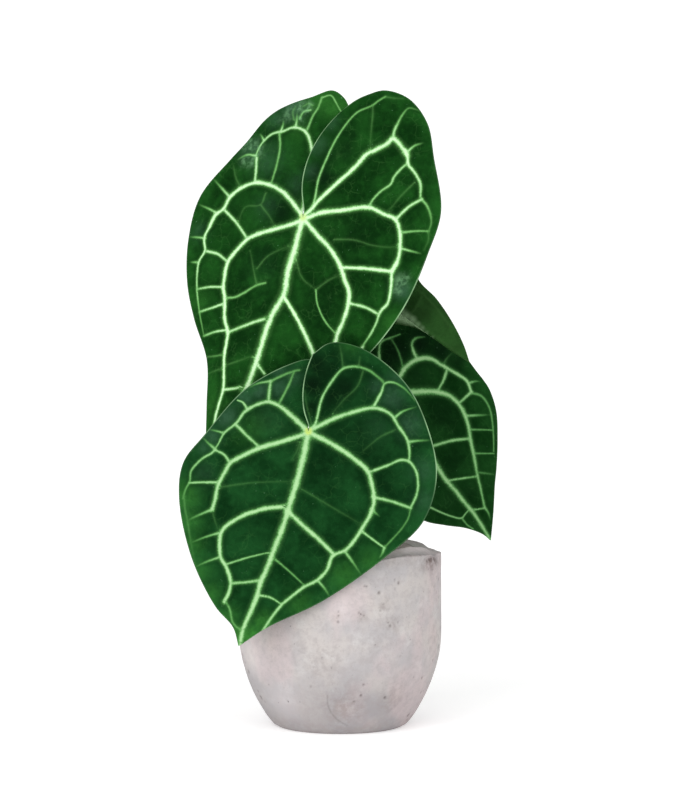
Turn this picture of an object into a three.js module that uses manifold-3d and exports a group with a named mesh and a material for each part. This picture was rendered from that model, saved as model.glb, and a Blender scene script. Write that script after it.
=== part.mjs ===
import * as THREE from "three";
import { mergeVertices } from "three/addons/utils/BufferGeometryUtils.js";
import Module from "manifold-3d";

// A velvet-leaved aroid with four heart-shaped leaves, growing in a round cast-concrete pot.
// Millimetres, +Z up, the front of the plant towards -Y. The origin is the middle of the
// pot's underside, on the plane that the pot stands on.

// Pot
const POT_HEIGHT = 115;
const POT_RADIUS = 66;
const BASE_RADIUS = 42;
const BOWL_HEIGHT = 62; // the wall curves in below this height
const BOWL_FULLNESS = 0.78; // under 1, the curve is fuller near the base than a sine
const WALL = 11;
const FLOOR = 10;
const RIM_ROUND = 2;
const POT_SIDES = 56;
const INNER_HEIGHTS = [FLOOR, 20, 32, 46, 62]; // where the inner wall bends

// Growing mix, heaped a little round the stem
const MIX_LEVEL = 99;
const MIX_HEAP = 4;
const MIX_RELIEF = 1.4;
const MIX_RINGS = 7;

// Stem
const STEM_RADIUS = 11;
const STEM_FOOT = 76;
const STEM_TOP = 114;
const STEM_SIDES = 20;

// Petioles
const PETIOLE_FOOT_RADIUS = 2.9;
const PETIOLE_RADIUS = 2.1;
const KNEE_RADIUS = 2.8; // the swollen joint under each blade
const KNEE_LENGTH = 15;
const PETIOLE_SIDES = 10;
const PETIOLE_STEPS = 18;

// Blades
const BLADE_THICKNESS = 0.9;
const DRAWING_LEAN = THREE.MathUtils.degToRad(7.6); // the drawing plane leans back this far
const HALF_SWEEP = 168; // degrees from the midrib to the last stretch of a lobe
const RAYS = 22; // on each side of the midrib
const RINGS = [0, 0.035, 0.09, 0.18, 0.3, 0.44, 0.58, 0.72, 0.87, 1];

const GAP = 0.3; // between pieces that touch

// Each blade is drawn from its sinus, where the petiole meets it, as bearings in degrees
// clockwise from straight up and reaches in millimetres, on a plane facing the front. One list
// runs from the cleft clockwise to the tip, and the other from the tip back to the cleft.
// sinus is [across, up the drawing plane, back]. turn and lean say how far the blade recedes
// for each millimetre to the right and up. foldRight and foldLeft bring each half back from
// the midrib, lap holds the right lobe before the left one, and bow bends the cleft's edge.
const LEAVES = [
  {
    name: "upper",
    sinus: [-24, 330, 6],
    clockwise: [[20, 73], [24, 82.5], [28, 90], [33, 98], [42, 103], [53, 101], [66, 93], [88, 89.5],
      [107, 84.5], [128, 87], [146, 94], [166, 109.5], [176, 126], [186, 144.5], [193.5, 162]],
    tip: [200, 178],
    onwards: [[203, 161], [207, 138], [214, 112], [227, 97], [241, 86.5], [260, 76],
      [282, 68.7], [309, 61], [323, 61.8], [338, 68.3], [346, 72], [355, 75.3], [364, 79],
      [373, 85.2], [378.3, 83], [381.7, 79.2], [386, 72]],
    turn: -0.15,
    lean: 0.24,
    foldRight: -0.03,
    foldLeft: 0.15,
    arch: 0.04,
    lap: 8,
    bow: -32,
    wave: 1.6,
    wavePhase: 0.4,
    kneeSide: -1,
    petiole: [[-6, 1, 92], [-10, 9, 150], [-18, 16, 225], [-22, 17, 285]],
  },
  {
    name: "front",
    sinus: [-20.3, 191, -42],
    clockwise: [[3, 50], [14, 59], [34, 64], [63.5, 70], [88, 77], [109, 87.5], [128, 94],
      [149, 95], [175, 109.5], [192, 129.5]],
    tip: [198, 145.7],
    onwards: [[201, 135.5], [208, 128], [223, 111], [243, 94], [256, 83.5], [268, 67.5],
      [303, 49.5], [342, 45], [362, 46.5], [370, 42]],
    turn: -0.1,
    lean: 0.3,
    foldRight: -0.04,
    foldLeft: 0.04,
    arch: 0.04,
    lap: 8,
    bow: -24,
    wave: 1.4,
    wavePhase: 1.9,
    kneeSide: -1,
    petiole: [[-1, -6, 92], [-8, -13, 140], [-14, -21, 168], [-18, -27, 182]],
  },
  {
    name: "right",
    sinus: [32.5, 210, 18],
    clockwise: [[-22, 34], [-12, 46], [0, 55], [20, 60], [41, 58], [63, 58.5], [71, 60.5],
      [77, 63.2], [83, 66], [95, 70.2], [110, 75.3], [122, 82.5], [128, 87.5], [137, 99.5]],
    tip: [144, 112.5],
    onwards: [[144.9, 106], [148.9, 96.5], [155.7, 88.5], [164.5, 80], [180, 60], [198, 48.5],
      [225, 39], [255, 34], [285, 30], [303, 27]],
    turn: 0.45,
    lean: 0.25,
    foldRight: 0.04,
    foldLeft: -0.05,
    arch: 0.03,
    lap: 3,
    bow: 0,
    wave: 1.3,
    wavePhase: 3.1,
    kneeSide: -1,
    petiole: [[6, 0.5, 92], [12, 9, 135], [19, 19, 168], [25, 26, 190]],
  },
  {
    name: "rear",
    sinus: [-3.2, 301, 20],
    clockwise: [[-40, 32], [-18, 42], [0, 46], [30, 50], [60, 52], [85, 53.5], [101, 55],
      [110, 70.5], [117, 85.5], [122.7, 99.5]],
    tip: [126.8, 109.6],
    onwards: [[127, 96], [127.6, 79.5], [129.5, 67], [134.8, 57], [144, 48], [158, 39],
      [178, 30], [207, 25], [242, 22.5], [275, 21], [295, 20]],
    turn: -0.12,
    lean: 0,
    foldRight: 0.05,
    foldLeft: 0.16,
    arch: 0.02,
    lap: 2,
    bow: 0,
    wave: 0.8,
    wavePhase: 0.9,
    kneeSide: 1,
    petiole: [[0.5, 6.5, 92], [-2, 10, 150], [-4, 11, 220], [-5, 10, 275]],
  },
];

const CONCRETE = new THREE.MeshStandardMaterial({ color: 0xbdb8b5, roughness: 0.85 });
const MIX = new THREE.MeshStandardMaterial({ color: 0x4b3a2c, roughness: 0.95 });
const STEM = new THREE.MeshStandardMaterial({ color: 0x6d6a3c, roughness: 0.7 });
const PETIOLE = new THREE.MeshStandardMaterial({ color: 0x6f9a4c, roughness: 0.5 });
const BLADE = new THREE.MeshStandardMaterial({ color: 0x1f4a25, roughness: 0.6 });

const wasm = await Module();
wasm.setup();

const plant = new THREE.Group();

function add(name, geometry, material) {
  const mesh = new THREE.Mesh(geometry, material);
  mesh.name = name;
  plant.add(mesh);
}

function joined(geometry) {
  const bare = geometry.clone();
  bare.deleteAttribute("normal");
  bare.deleteAttribute("uv");
  return mergeVertices(bare, 1e-3);
}

function toSolid(geometry) {
  const bare = joined(geometry);
  return new wasm.Manifold(
    new wasm.Mesh({
      numProp: 3,
      vertProperties: bare.attributes.position.array,
      triVerts: new Uint32Array(bare.index.array),
    }),
  );
}

function toGeometry(solid) {
  const mesh = solid.getMesh();
  const geometry = new THREE.BufferGeometry();
  geometry.setAttribute("position", new THREE.BufferAttribute(mesh.vertProperties, 3));
  geometry.setIndex(new THREE.BufferAttribute(mesh.triVerts, 1));
  geometry.computeVertexNormals();
  return geometry;
}

// A profile of [radius, height] turned about the Z axis.
function turned(profile, sides) {
  const points = profile.map(([radius, height]) => new THREE.Vector2(radius, height));
  return new THREE.LatheGeometry(points, sides).rotateX(Math.PI / 2);
}

// ---- pot ----

function wallRadius(height) {
  const climb = Math.min(1, height / BOWL_HEIGHT);
  const rise = Math.sin((climb * Math.PI) / 2) ** BOWL_FULLNESS;
  return BASE_RADIUS + (POT_RADIUS - BASE_RADIUS) * rise;
}

function potProfile() {
  const outer = [[0, 0], [BASE_RADIUS - 1.6, 0]];
  for (const height of [1.5, 6, 12, 20, 30, 41, 51, 62]) outer.push([wallRadius(height), height]);
  const rim = [
    [POT_RADIUS, POT_HEIGHT - RIM_ROUND],
    [POT_RADIUS - 0.6 * RIM_ROUND, POT_HEIGHT],
    [POT_RADIUS - WALL + 0.6 * RIM_ROUND, POT_HEIGHT],
    [POT_RADIUS - WALL, POT_HEIGHT - RIM_ROUND],
  ];
  const inner = [];
  for (const height of INNER_HEIGHTS) inner.unshift([wallRadius(height) - WALL, height]);
  inner.push([0, FLOOR]);
  return [...outer, ...rim, ...inner];
}

add("pot", turned(potProfile(), POT_SIDES), CONCRETE);

// ---- growing mix ----

// Chunky bark and grit: the surface heaps towards the stem and rolls in short lumps.
function mixHeight(x, y) {
  const share = Math.hypot(x, y) / (POT_RADIUS - WALL);
  const heap = MIX_HEAP * (1 - share * share);
  const lumps =
    Math.sin(x * 0.43 + 1.1 * Math.sin(y * 0.31)) * Math.cos(y * 0.39 + 0.9 * Math.sin(x * 0.27));
  return heap + MIX_RELIEF * lumps * (1 - share ** 6);
}

function mixGeometry() {
  const reach = POT_RADIUS - WALL - GAP;
  const profile = [[0, FLOOR + GAP]];
  for (const height of INNER_HEIGHTS) {
    profile.push([wallRadius(height) - WALL - 2 * GAP, Math.max(height, FLOOR + GAP)]);
  }
  for (let ring = 0; ring <= MIX_RINGS; ring += 1) {
    profile.push([reach * (1 - ring / MIX_RINGS), MIX_LEVEL]);
  }
  const geometry = turned(profile, 36);
  const spots = geometry.attributes.position;
  for (let i = 0; i < spots.count; i += 1) {
    if (spots.getZ(i) > MIX_LEVEL - 1) {
      spots.setZ(i, MIX_LEVEL + mixHeight(spots.getX(i), spots.getY(i)));
    }
  }
  return geometry;
}

// ---- petioles ----

// A closed round rod along a curve, its radius set by the share of its length.
function rod(curve, steps, sides, radiusAt) {
  const frames = curve.computeFrenetFrames(steps, false);
  const places = [];
  for (let step = 0; step <= steps; step += 1) {
    const share = step / steps;
    const middle = curve.getPointAt(share);
    for (let side = 0; side < sides; side += 1) {
      const angle = (2 * Math.PI * side) / sides;
      const spot = middle
        .clone()
        .addScaledVector(frames.normals[step], Math.cos(angle) * radiusAt(share))
        .addScaledVector(frames.binormals[step], Math.sin(angle) * radiusAt(share));
      places.push(...spot);
    }
  }
  const foot = places.length / 3;
  places.push(...curve.getPointAt(0), ...curve.getPointAt(1));
  const corners = [];
  for (let side = 0; side < sides; side += 1) {
    const next = (side + 1) % sides;
    corners.push(foot, next, side);
    corners.push(foot + 1, steps * sides + side, steps * sides + next);
    for (let step = 0; step < steps; step += 1) {
      const low = step * sides;
      const high = low + sides;
      corners.push(low + side, low + next, high + next);
      corners.push(low + side, high + next, high + side);
    }
  }
  const geometry = new THREE.BufferGeometry();
  geometry.setAttribute("position", new THREE.Float32BufferAttribute(places, 3));
  geometry.setIndex(corners);
  geometry.computeVertexNormals();
  return geometry;
}

// The petiole runs up from the stem and turns square on to the blade at its knee.
function petioleCurve(leaf, root) {
  const { kneeSide, petiole } = leaf;
  const end = root.point
    .clone()
    .addScaledVector(root.normal, kneeSide * (BLADE_THICKNESS / 2 + 2 * GAP));
  const knee = end.clone().addScaledVector(root.normal, kneeSide * KNEE_LENGTH * 0.6);
  const lower = petiole.map((spot) => new THREE.Vector3(...spot));
  return new THREE.CatmullRomCurve3([...lower, knee, end], false, "centripetal");
}

function petioleRadius(length, extra = 0) {
  return (share) => {
    const left = (1 - share) * length;
    const swell = Math.exp(-(((left - KNEE_LENGTH / 2) / (KNEE_LENGTH / 2)) ** 2));
    const foot = Math.exp(-(share * length) / 25);
    const plain = PETIOLE_RADIUS + (PETIOLE_FOOT_RADIUS - PETIOLE_RADIUS) * foot;
    return plain + (KNEE_RADIUS - PETIOLE_RADIUS) * swell + extra;
  };
}

// ---- blades ----

function spotAt([bearing, reach]) {
  const angle = THREE.MathUtils.degToRad(bearing);
  return new THREE.Vector3(Math.sin(angle) * reach, Math.cos(angle) * reach, 0);
}

// RAYS + 1 spots along one side of the margin, with each spot's share of the side's length.
function marginSide(list) {
  const curve = new THREE.CatmullRomCurve3(list.map(spotAt), false, "centripetal");
  return curve.getSpacedPoints(RAYS);
}

// The margin as rays: bearing and reach from the sinus, and the way round from the tip, from
// -HALF_SWEEP to HALF_SWEEP degrees, positive on the clockwise side.
function marginRays(leaf) {
  const clockwise = marginSide([...leaf.clockwise, leaf.tip]);
  const onwards = marginSide([leaf.tip, ...leaf.onwards]);
  const rays = [];
  let bearing = leaf.clockwise[0][0];
  [...clockwise, ...onwards.slice(1)].forEach((spot, i) => {
    const raw = THREE.MathUtils.radToDeg(Math.atan2(spot.x, spot.y));
    bearing = raw + 360 * Math.round((bearing - raw) / 360);
    const share = Math.abs(i - RAYS) / RAYS;
    rays.push({
      bearing,
      reach: spot.length(),
      round: Math.sign(RAYS - i) * HALF_SWEEP * share ** 1.5,
    });
  });
  return rays;
}

const NOTCH = 18; // degrees left open on each side of the cleft close to the sinus
const LAP_START = 9; // the lobes part over this distance from the sinus

// Where a point of the blade lies: share is 0 at the sinus and 1 at the margin.
function bladeSpot(leaf, rays, ray, share) {
  const first = rays[0].bearing;
  const last = rays[rays.length - 1].bearing;
  const open = NOTCH + ((360 - 2 * NOTCH) * (ray.bearing - first)) / (last - first);
  const near = (1 - share) ** 10;
  const cleftRight = Math.max(0, 1 - (ray.bearing - first) / 75) ** 2;
  const cleftLeft = Math.max(0, 1 - (last - ray.bearing) / 75) ** 2;
  const bowed = leaf.bow * cleftRight * (1 - share) * (1 - near);
  const bearing = ray.bearing + (open - ray.bearing) * near + bowed;
  const flat = spotAt([bearing, ray.reach * share]);

  const length = leaf.tip[1];
  const around = THREE.MathUtils.degToRad(ray.round);
  const fold = ray.round > 0 ? leaf.foldRight : leaf.foldLeft;
  const parted = 1 - Math.exp(-((flat.length() / LAP_START) ** 2));
  const back =
    leaf.sinus[2] +
    leaf.turn * flat.x +
    leaf.lean * flat.y +
    fold * length * share * Math.abs(Math.sin(around)) +
    leaf.arch * length * share * share * Math.cos(around) ** 2 +
    leaf.wave * share ** 3 * Math.sin(3.3 * around + leaf.wavePhase) +
    (leaf.lap / 2) * parted * (cleftLeft - cleftRight);
  const up = leaf.sinus[1] + flat.y;
  return new THREE.Vector3(
    leaf.sinus[0] + flat.x,
    back,
    (up - back * Math.sin(DRAWING_LEAN)) / Math.cos(DRAWING_LEAN),
  );
}

// The blade's middle sheet: spots, triangles facing the front, and the outline's loop.
function bladeSheet(leaf) {
  const rays = marginRays(leaf);
  const rings = RINGS.length - 1;
  const spots = [bladeSpot(leaf, rays, rays[RAYS], 0)];
  for (const ray of rays) {
    for (const share of RINGS.slice(1)) spots.push(bladeSpot(leaf, rays, ray, share));
  }
  const at = (ray, ring) => (ring === 0 ? 0 : 1 + ray * rings + ring - 1);
  const corners = [];
  for (let ray = 0; ray < rays.length - 1; ray += 1) {
    corners.push([0, at(ray + 1, 1), at(ray, 1)]);
    for (let ring = 1; ring < rings; ring += 1) {
      const quad = [at(ray, ring), at(ray + 1, ring), at(ray + 1, ring + 1), at(ray, ring + 1)];
      const turn = (ray + ring) % 2;
      corners.push([quad[turn], quad[1 + turn], quad[2 + turn]]);
      corners.push([quad[2 + turn], quad[(3 + turn) % 4], quad[turn]]);
    }
  }
  const loop = [0];
  for (let ring = 1; ring < rings; ring += 1) loop.push(at(0, ring));
  for (let ray = 0; ray < rays.length; ray += 1) loop.push(at(ray, rings));
  for (let ring = rings - 1; ring > 0; ring -= 1) loop.push(at(rays.length - 1, ring));
  return { spots, corners, loop };
}

function sheetNormals(spots, corners) {
  const normals = spots.map(() => new THREE.Vector3());
  for (const [a, b, c] of corners) {
    const ab = spots[b].clone().sub(spots[a]);
    const ac = spots[c].clone().sub(spots[a]);
    const face = ab.cross(ac);
    for (const corner of [a, b, c]) normals[corner].add(face);
  }
  return normals.map((normal) => normal.normalize());
}

// A closed blade: both faces hold the same triangles, and a strip closes the margin.
function blade(leaf) {
  const { spots, corners, loop } = bladeSheet(leaf);
  const normals = sheetNormals(spots, corners);
  const places = [];
  for (const side of [1, -1]) {
    spots.forEach((spot, i) => {
      places.push(...spot.clone().addScaledVector(normals[i], (side * BLADE_THICKNESS) / 2));
    });
  }
  const under = spots.length;
  const index = [];
  for (const [a, b, c] of corners) {
    index.push(a, b, c);
    index.push(under + c, under + b, under + a);
  }
  loop.forEach((from, i) => {
    const to = loop[(i + 1) % loop.length];
    index.push(from, to, under + to);
    index.push(from, under + to, under + from);
  });
  const geometry = new THREE.BufferGeometry();
  geometry.setAttribute("position", new THREE.Float32BufferAttribute(places, 3));
  geometry.setIndex(index);
  geometry.computeVertexNormals();
  return { geometry, root: { point: spots[0], normal: normals[0] } };
}

// ---- the plant ----

const stemProfile = [[0, STEM_FOOT], [STEM_RADIUS * 0.7, STEM_FOOT]];
for (const [swell, climb] of [[0.96, 6], [0.9, 13], [1, 19], [0.93, 25], [1, 31]]) {
  stemProfile.push([STEM_RADIUS * swell, STEM_FOOT + climb]);
}
stemProfile.push([STEM_RADIUS * 0.8, STEM_TOP - 1.5], [0, STEM_TOP]);
let stem = toSolid(turned(stemProfile, STEM_SIDES));

for (const leaf of LEAVES) {
  const { geometry, root } = blade(leaf);
  add(`blade_${leaf.name}`, geometry, BLADE);
  const curve = petioleCurve(leaf, root);
  const length = curve.getLength();
  const petiole = rod(curve, PETIOLE_STEPS, PETIOLE_SIDES, petioleRadius(length));
  add(`petiole_${leaf.name}`, petiole, PETIOLE);
  const socket = rod(curve, PETIOLE_STEPS, PETIOLE_SIDES, petioleRadius(length, GAP));
  stem = stem.subtract(toSolid(socket));
}
add("stem", toGeometry(stem), STEM);

const hole = turned(
  [
    [0, STEM_FOOT - GAP],
    [STEM_RADIUS + GAP, STEM_FOOT - GAP],
    [STEM_RADIUS + GAP, POT_HEIGHT],
    [0, POT_HEIGHT],
  ],
  STEM_SIDES,
);
add("growing_mix", toGeometry(toSolid(mixGeometry()).subtract(toSolid(hole))), MIX);

export default plant;
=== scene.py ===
"""Dresses a velvet-leaved aroid in a concrete pot, piece by piece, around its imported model."""

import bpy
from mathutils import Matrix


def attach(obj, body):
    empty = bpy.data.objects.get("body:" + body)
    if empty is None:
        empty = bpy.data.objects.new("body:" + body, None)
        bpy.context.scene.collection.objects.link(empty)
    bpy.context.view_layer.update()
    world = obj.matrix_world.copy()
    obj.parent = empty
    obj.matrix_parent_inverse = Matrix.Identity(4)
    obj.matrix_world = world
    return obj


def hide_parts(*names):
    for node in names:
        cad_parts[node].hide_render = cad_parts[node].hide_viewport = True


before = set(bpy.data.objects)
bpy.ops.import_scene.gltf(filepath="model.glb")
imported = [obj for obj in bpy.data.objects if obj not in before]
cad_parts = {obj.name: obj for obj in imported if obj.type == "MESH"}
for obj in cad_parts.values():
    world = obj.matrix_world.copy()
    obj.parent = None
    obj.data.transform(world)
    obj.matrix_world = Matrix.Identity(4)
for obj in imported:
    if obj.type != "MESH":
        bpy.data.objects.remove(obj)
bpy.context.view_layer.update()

import logging
import math
from dataclasses import dataclass
from enum import Enum

import bmesh
import bpy
import numpy as np
from mathutils import Vector
from mathutils.geometry import delaunay_2d_cdt

log = logging.getLogger("plant")

MM = 0.001
GAP = 0.3  # millimetres between pieces that touch
LEAN = math.radians(7.6)  # the drawing plane of the blades leans back this far

# Veins are drawn on a sheet of 700 by 800 units, read from its upper left corner.
SHEET_AXIS = 340.0  # the pot's axis
SHEET_BASE = 725.0  # the pot's foot
SHEET_UNIT = 0.65  # millimetres in a unit of the sheet

CURVE_STEPS = 24  # steps from one given place of a curve to the next
GRAIN_VALUES = 4096  # random values behind grain(), a power of two
GRAIN_KEYS = (73856093, 19349663, 83492791)  # large primes that pick among them

Array = np.ndarray
Mesh = tuple[Array, list[list[int]]]  # places, and the corner numbers of each face
Piece = bpy.types.Object
Material = bpy.types.Material
Socket = bpy.types.NodeSocket
Flat = tuple[float, ...]  # pairs of numbers, one pair after another
Triple = tuple[float, float, float]
Colour = tuple[float, float, float, float]


def tone(red: int, green: int, blue: int) -> Colour:
    """Turns a colour as seen on a screen, 0 to 255, into the linear one that shaders take.

    Args:
        red, green, blue: the screen values.

    Returns:
        The linear colour with full alpha.
    """
    linear = [
        c / 12.92 if c <= 0.04045 else ((c + 0.055) / 1.055) ** 2.4
        for c in (red / 255, green / 255, blue / 255)
    ]
    return (*linear, 1.0)


def smoothstep(low: float, high: float, value: Array) -> Array:
    """Rises smoothly from 0 at low to 1 at high."""
    share = np.clip((value - low) / (high - low), 0.0, 1.0)
    return share * share * (3 - 2 * share)


def bell(away: Array, breadth: float | Array) -> Array:
    """Falls smoothly from 1 where away is 0, by a factor of e at one breadth."""
    return np.exp(-((away / breadth) ** 2))


def grain(points: Array, size: float, seed: int) -> Array:
    """Smooth random relief over space, the same on every run.

    Args:
        points: places, one a row, in millimetres.
        size: the breadth of one lump, in millimetres.
        seed: picks one relief out of many.

    Returns:
        One value a place, between -1 and 1.
    """
    table = np.random.default_rng(seed).uniform(-1, 1, GRAIN_VALUES)
    scaled = points / size
    cell = np.floor(scaled).astype(np.int64)
    inside = scaled - cell
    inside = inside * inside * (3 - 2 * inside)
    total = np.zeros(len(points))
    for corner in range(8):
        step = np.array([corner & 1, corner >> 1 & 1, corner >> 2 & 1])
        key = np.bitwise_xor.reduce((cell + step) * GRAIN_KEYS, axis=1)
        weight = np.prod(np.where(step == 1, inside, 1 - inside), axis=1)
        total += weight * table[key & (GRAIN_VALUES - 1)]
    return total


def spline(points: Array, count: int) -> Array:
    """Even places along a centripetal Catmull-Rom curve, as the solids' outlines use.

    Args:
        points: the places that the curve passes, one a row.
        count: how many places to return.

    Returns:
        The places, one a row, the first and last at the curve's ends.
    """
    ends = np.vstack([2 * points[0] - points[1], points, 2 * points[-1] - points[-2]])
    t = np.linspace(0, 1, CURVE_STEPS, endpoint=False)[:, None]
    runs = []
    for a, b, c, d in zip(ends, ends[1:], ends[2:], ends[3:]):
        ta, tb, tc = (max(np.linalg.norm(leg) ** 0.5, 1e-6) for leg in (b - a, c - b, d - c))
        start = ((b - a) / ta - (c - a) / (ta + tb) + (c - b) / tb) * tb
        end = ((c - b) / tb - (d - b) / (tb + tc) + (d - c) / tc) * tb
        runs.append(
            b + start * t + (3 * (c - b) - 2 * start - end) * t**2
            + (2 * (b - c) + start + end) * t**3
        )
    runs.append(points[-1:])
    return evenly(np.vstack(runs), count)


def evenly(points: Array, count: int) -> Array:
    """Spaces count places evenly along the straight runs between points."""
    walked = np.concatenate([[0], np.cumsum(np.linalg.norm(np.diff(points, axis=0), axis=1))])
    stops = np.linspace(0, walked[-1], count)
    return np.stack([np.interp(stops, walked, axis) for axis in points.T], axis=1)


def length_of(points: Array) -> float:
    """The length of the straight runs between points."""
    return float(np.linalg.norm(np.diff(points, axis=0), axis=1).sum())


def paired(numbers: Flat) -> Array:
    """Sets pairs of numbers out one a row."""
    return np.array(numbers, dtype=float).reshape(-1, 2)


def polar(pairs: Array) -> Array:
    """Turns bearings in degrees clockwise from up, with reaches, into across and up."""
    angle = np.radians(pairs[:, 0])
    return np.stack([np.sin(angle), np.cos(angle)], axis=1) * pairs[:, 1:2]


def off_sheet(x: Array | float, y: Array | float) -> tuple[Array | float, Array | float]:
    """Turns a place on the sheet into millimetres across from the pot's axis and up."""
    return (x - SHEET_AXIS) * SHEET_UNIT, (SHEET_BASE - y) * SHEET_UNIT


# ---- meshes and finishes ----


class Slot(Enum):
    """The record's material slots."""

    CONCRETE = "concrete"
    MIX = "growing_mix"
    STEM = "stem"
    PETIOLE = "petiole"
    BLADE = "blade"


def make_piece(name: str, places: Array, faces: list[list[int]] | Array,
               finishes: tuple[Material, ...], smooth: bool = True) -> Piece:
    """Makes a piece from places in millimetres and rides it on the root body.

    Args:
        name: the piece's name.
        places: vertices, one a row.
        faces: corner numbers, one face a row.
        finishes: the piece's materials.
        smooth: whether its faces shade smoothly.

    Returns:
        The new object.
    """
    mesh = bpy.data.meshes.new(name)
    mesh.from_pydata((places * MM).tolist(), [], [list(face) for face in faces])
    mesh.polygons.foreach_set("use_smooth", [smooth] * len(mesh.polygons))
    mesh.update()
    for finish in finishes:
        mesh.materials.append(finish)
    piece = bpy.data.objects.new(name, mesh)
    bpy.context.collection.objects.link(piece)
    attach(piece, "root")
    triangles = sum(len(polygon.vertices) - 2 for polygon in mesh.polygons)
    log.info("%s: %d triangles", name, triangles)
    return piece


def note(piece: Piece, name: str, values: Array) -> None:
    """Writes one number a vertex on to a piece, for its finish to read."""
    piece.data.attributes.new(name, "FLOAT", "POINT").data.foreach_set(
        "value", np.asarray(values, dtype=np.float32)
    )


def turns(sides: int, crowd: float = 0.0) -> Array:
    """The bearings of a ring's places, from the front, crowded together there if asked."""
    even = np.linspace(0, 2 * math.pi, sides, endpoint=False)
    return even - crowd * np.sin(even)


def spun(section: Array, turn: Array) -> Array:
    """Carries a section's rows, radius and height, round the axis, one ring after another."""
    return np.stack([
        np.outer(section[:, 0], np.sin(turn)),
        -np.outer(section[:, 0], np.cos(turn)),
        np.repeat(section[:, 1:], len(turn), axis=1),
    ], axis=-1).reshape(-1, 3)


def hoops(rings: int, sides: int) -> list[list[int]]:
    """Faces between rings of places, closed by the two places that follow them.

    Args:
        rings: how many rings there are.
        sides: how many places a ring has.

    Returns:
        The corner numbers of each face.
    """
    foot = rings * sides
    last = foot - sides
    faces = []
    for side in range(sides):
        after = (side + 1) % sides
        faces.append([foot, after, side])
        faces.append([foot + 1, last + side, last + after])
        for low in range(0, last, sides):
            faces.append([low + side, low + after, low + sides + after, low + sides + side])
    return faces


def lathe(profile: Array, sides: int, crowd: float = 0.0) -> Mesh:
    """Turns a profile about the axis.

    Args:
        profile: radius and height, one row a ring, the first and last on the axis.
        sides: how many places a ring has, the first of them at the front.
        crowd: how far they crowd together at the front, from 0 to 1.

    Returns:
        The places, the two on the axis last, and faces that point out where the profile
        runs outwards below and inwards above.
    """
    rings = profile[1:-1]
    ends = [[0, 0, profile[0, 1]], [0, 0, profile[-1, 1]]]
    return np.vstack([spun(rings, turns(sides, crowd)), ends]), hoops(len(rings), sides)


def tube(path: Array, radii: Array, sides: int) -> Mesh:
    """Sweeps a round rod along a path.

    Args:
        path: the rod's axis, one place a row.
        radii: the rod's radius at each place.
        sides: how many places a ring has.

    Returns:
        The places and the faces, closed at both ends.
    """
    ahead = np.gradient(path, axis=0)
    ahead /= np.linalg.norm(ahead, axis=1, keepdims=True)
    across = np.cross(ahead[0], [0.3, 1.0, 0.1])  # any way that the rod doesn't start in
    turn = turns(sides)[:, None]
    rings = []
    for spot, way, radius in zip(path, ahead, radii):
        across = across - way * across.dot(way)
        across /= np.linalg.norm(across)
        beside = np.cross(way, across)
        rings.append(spot + radius * (np.cos(turn) * across + np.sin(turn) * beside))
    return np.vstack([*rings, path[:1], path[-1:]]), hoops(len(path), sides)


def join(parts: list[Mesh]) -> Mesh:
    """Puts several sets of places and faces into one."""
    places, faces, count = [], [], 0
    for spots, corners in parts:
        places.append(spots)
        faces += [[corner + count for corner in face] for face in corners]
        count += len(spots)
    return np.vstack(places), faces


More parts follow.
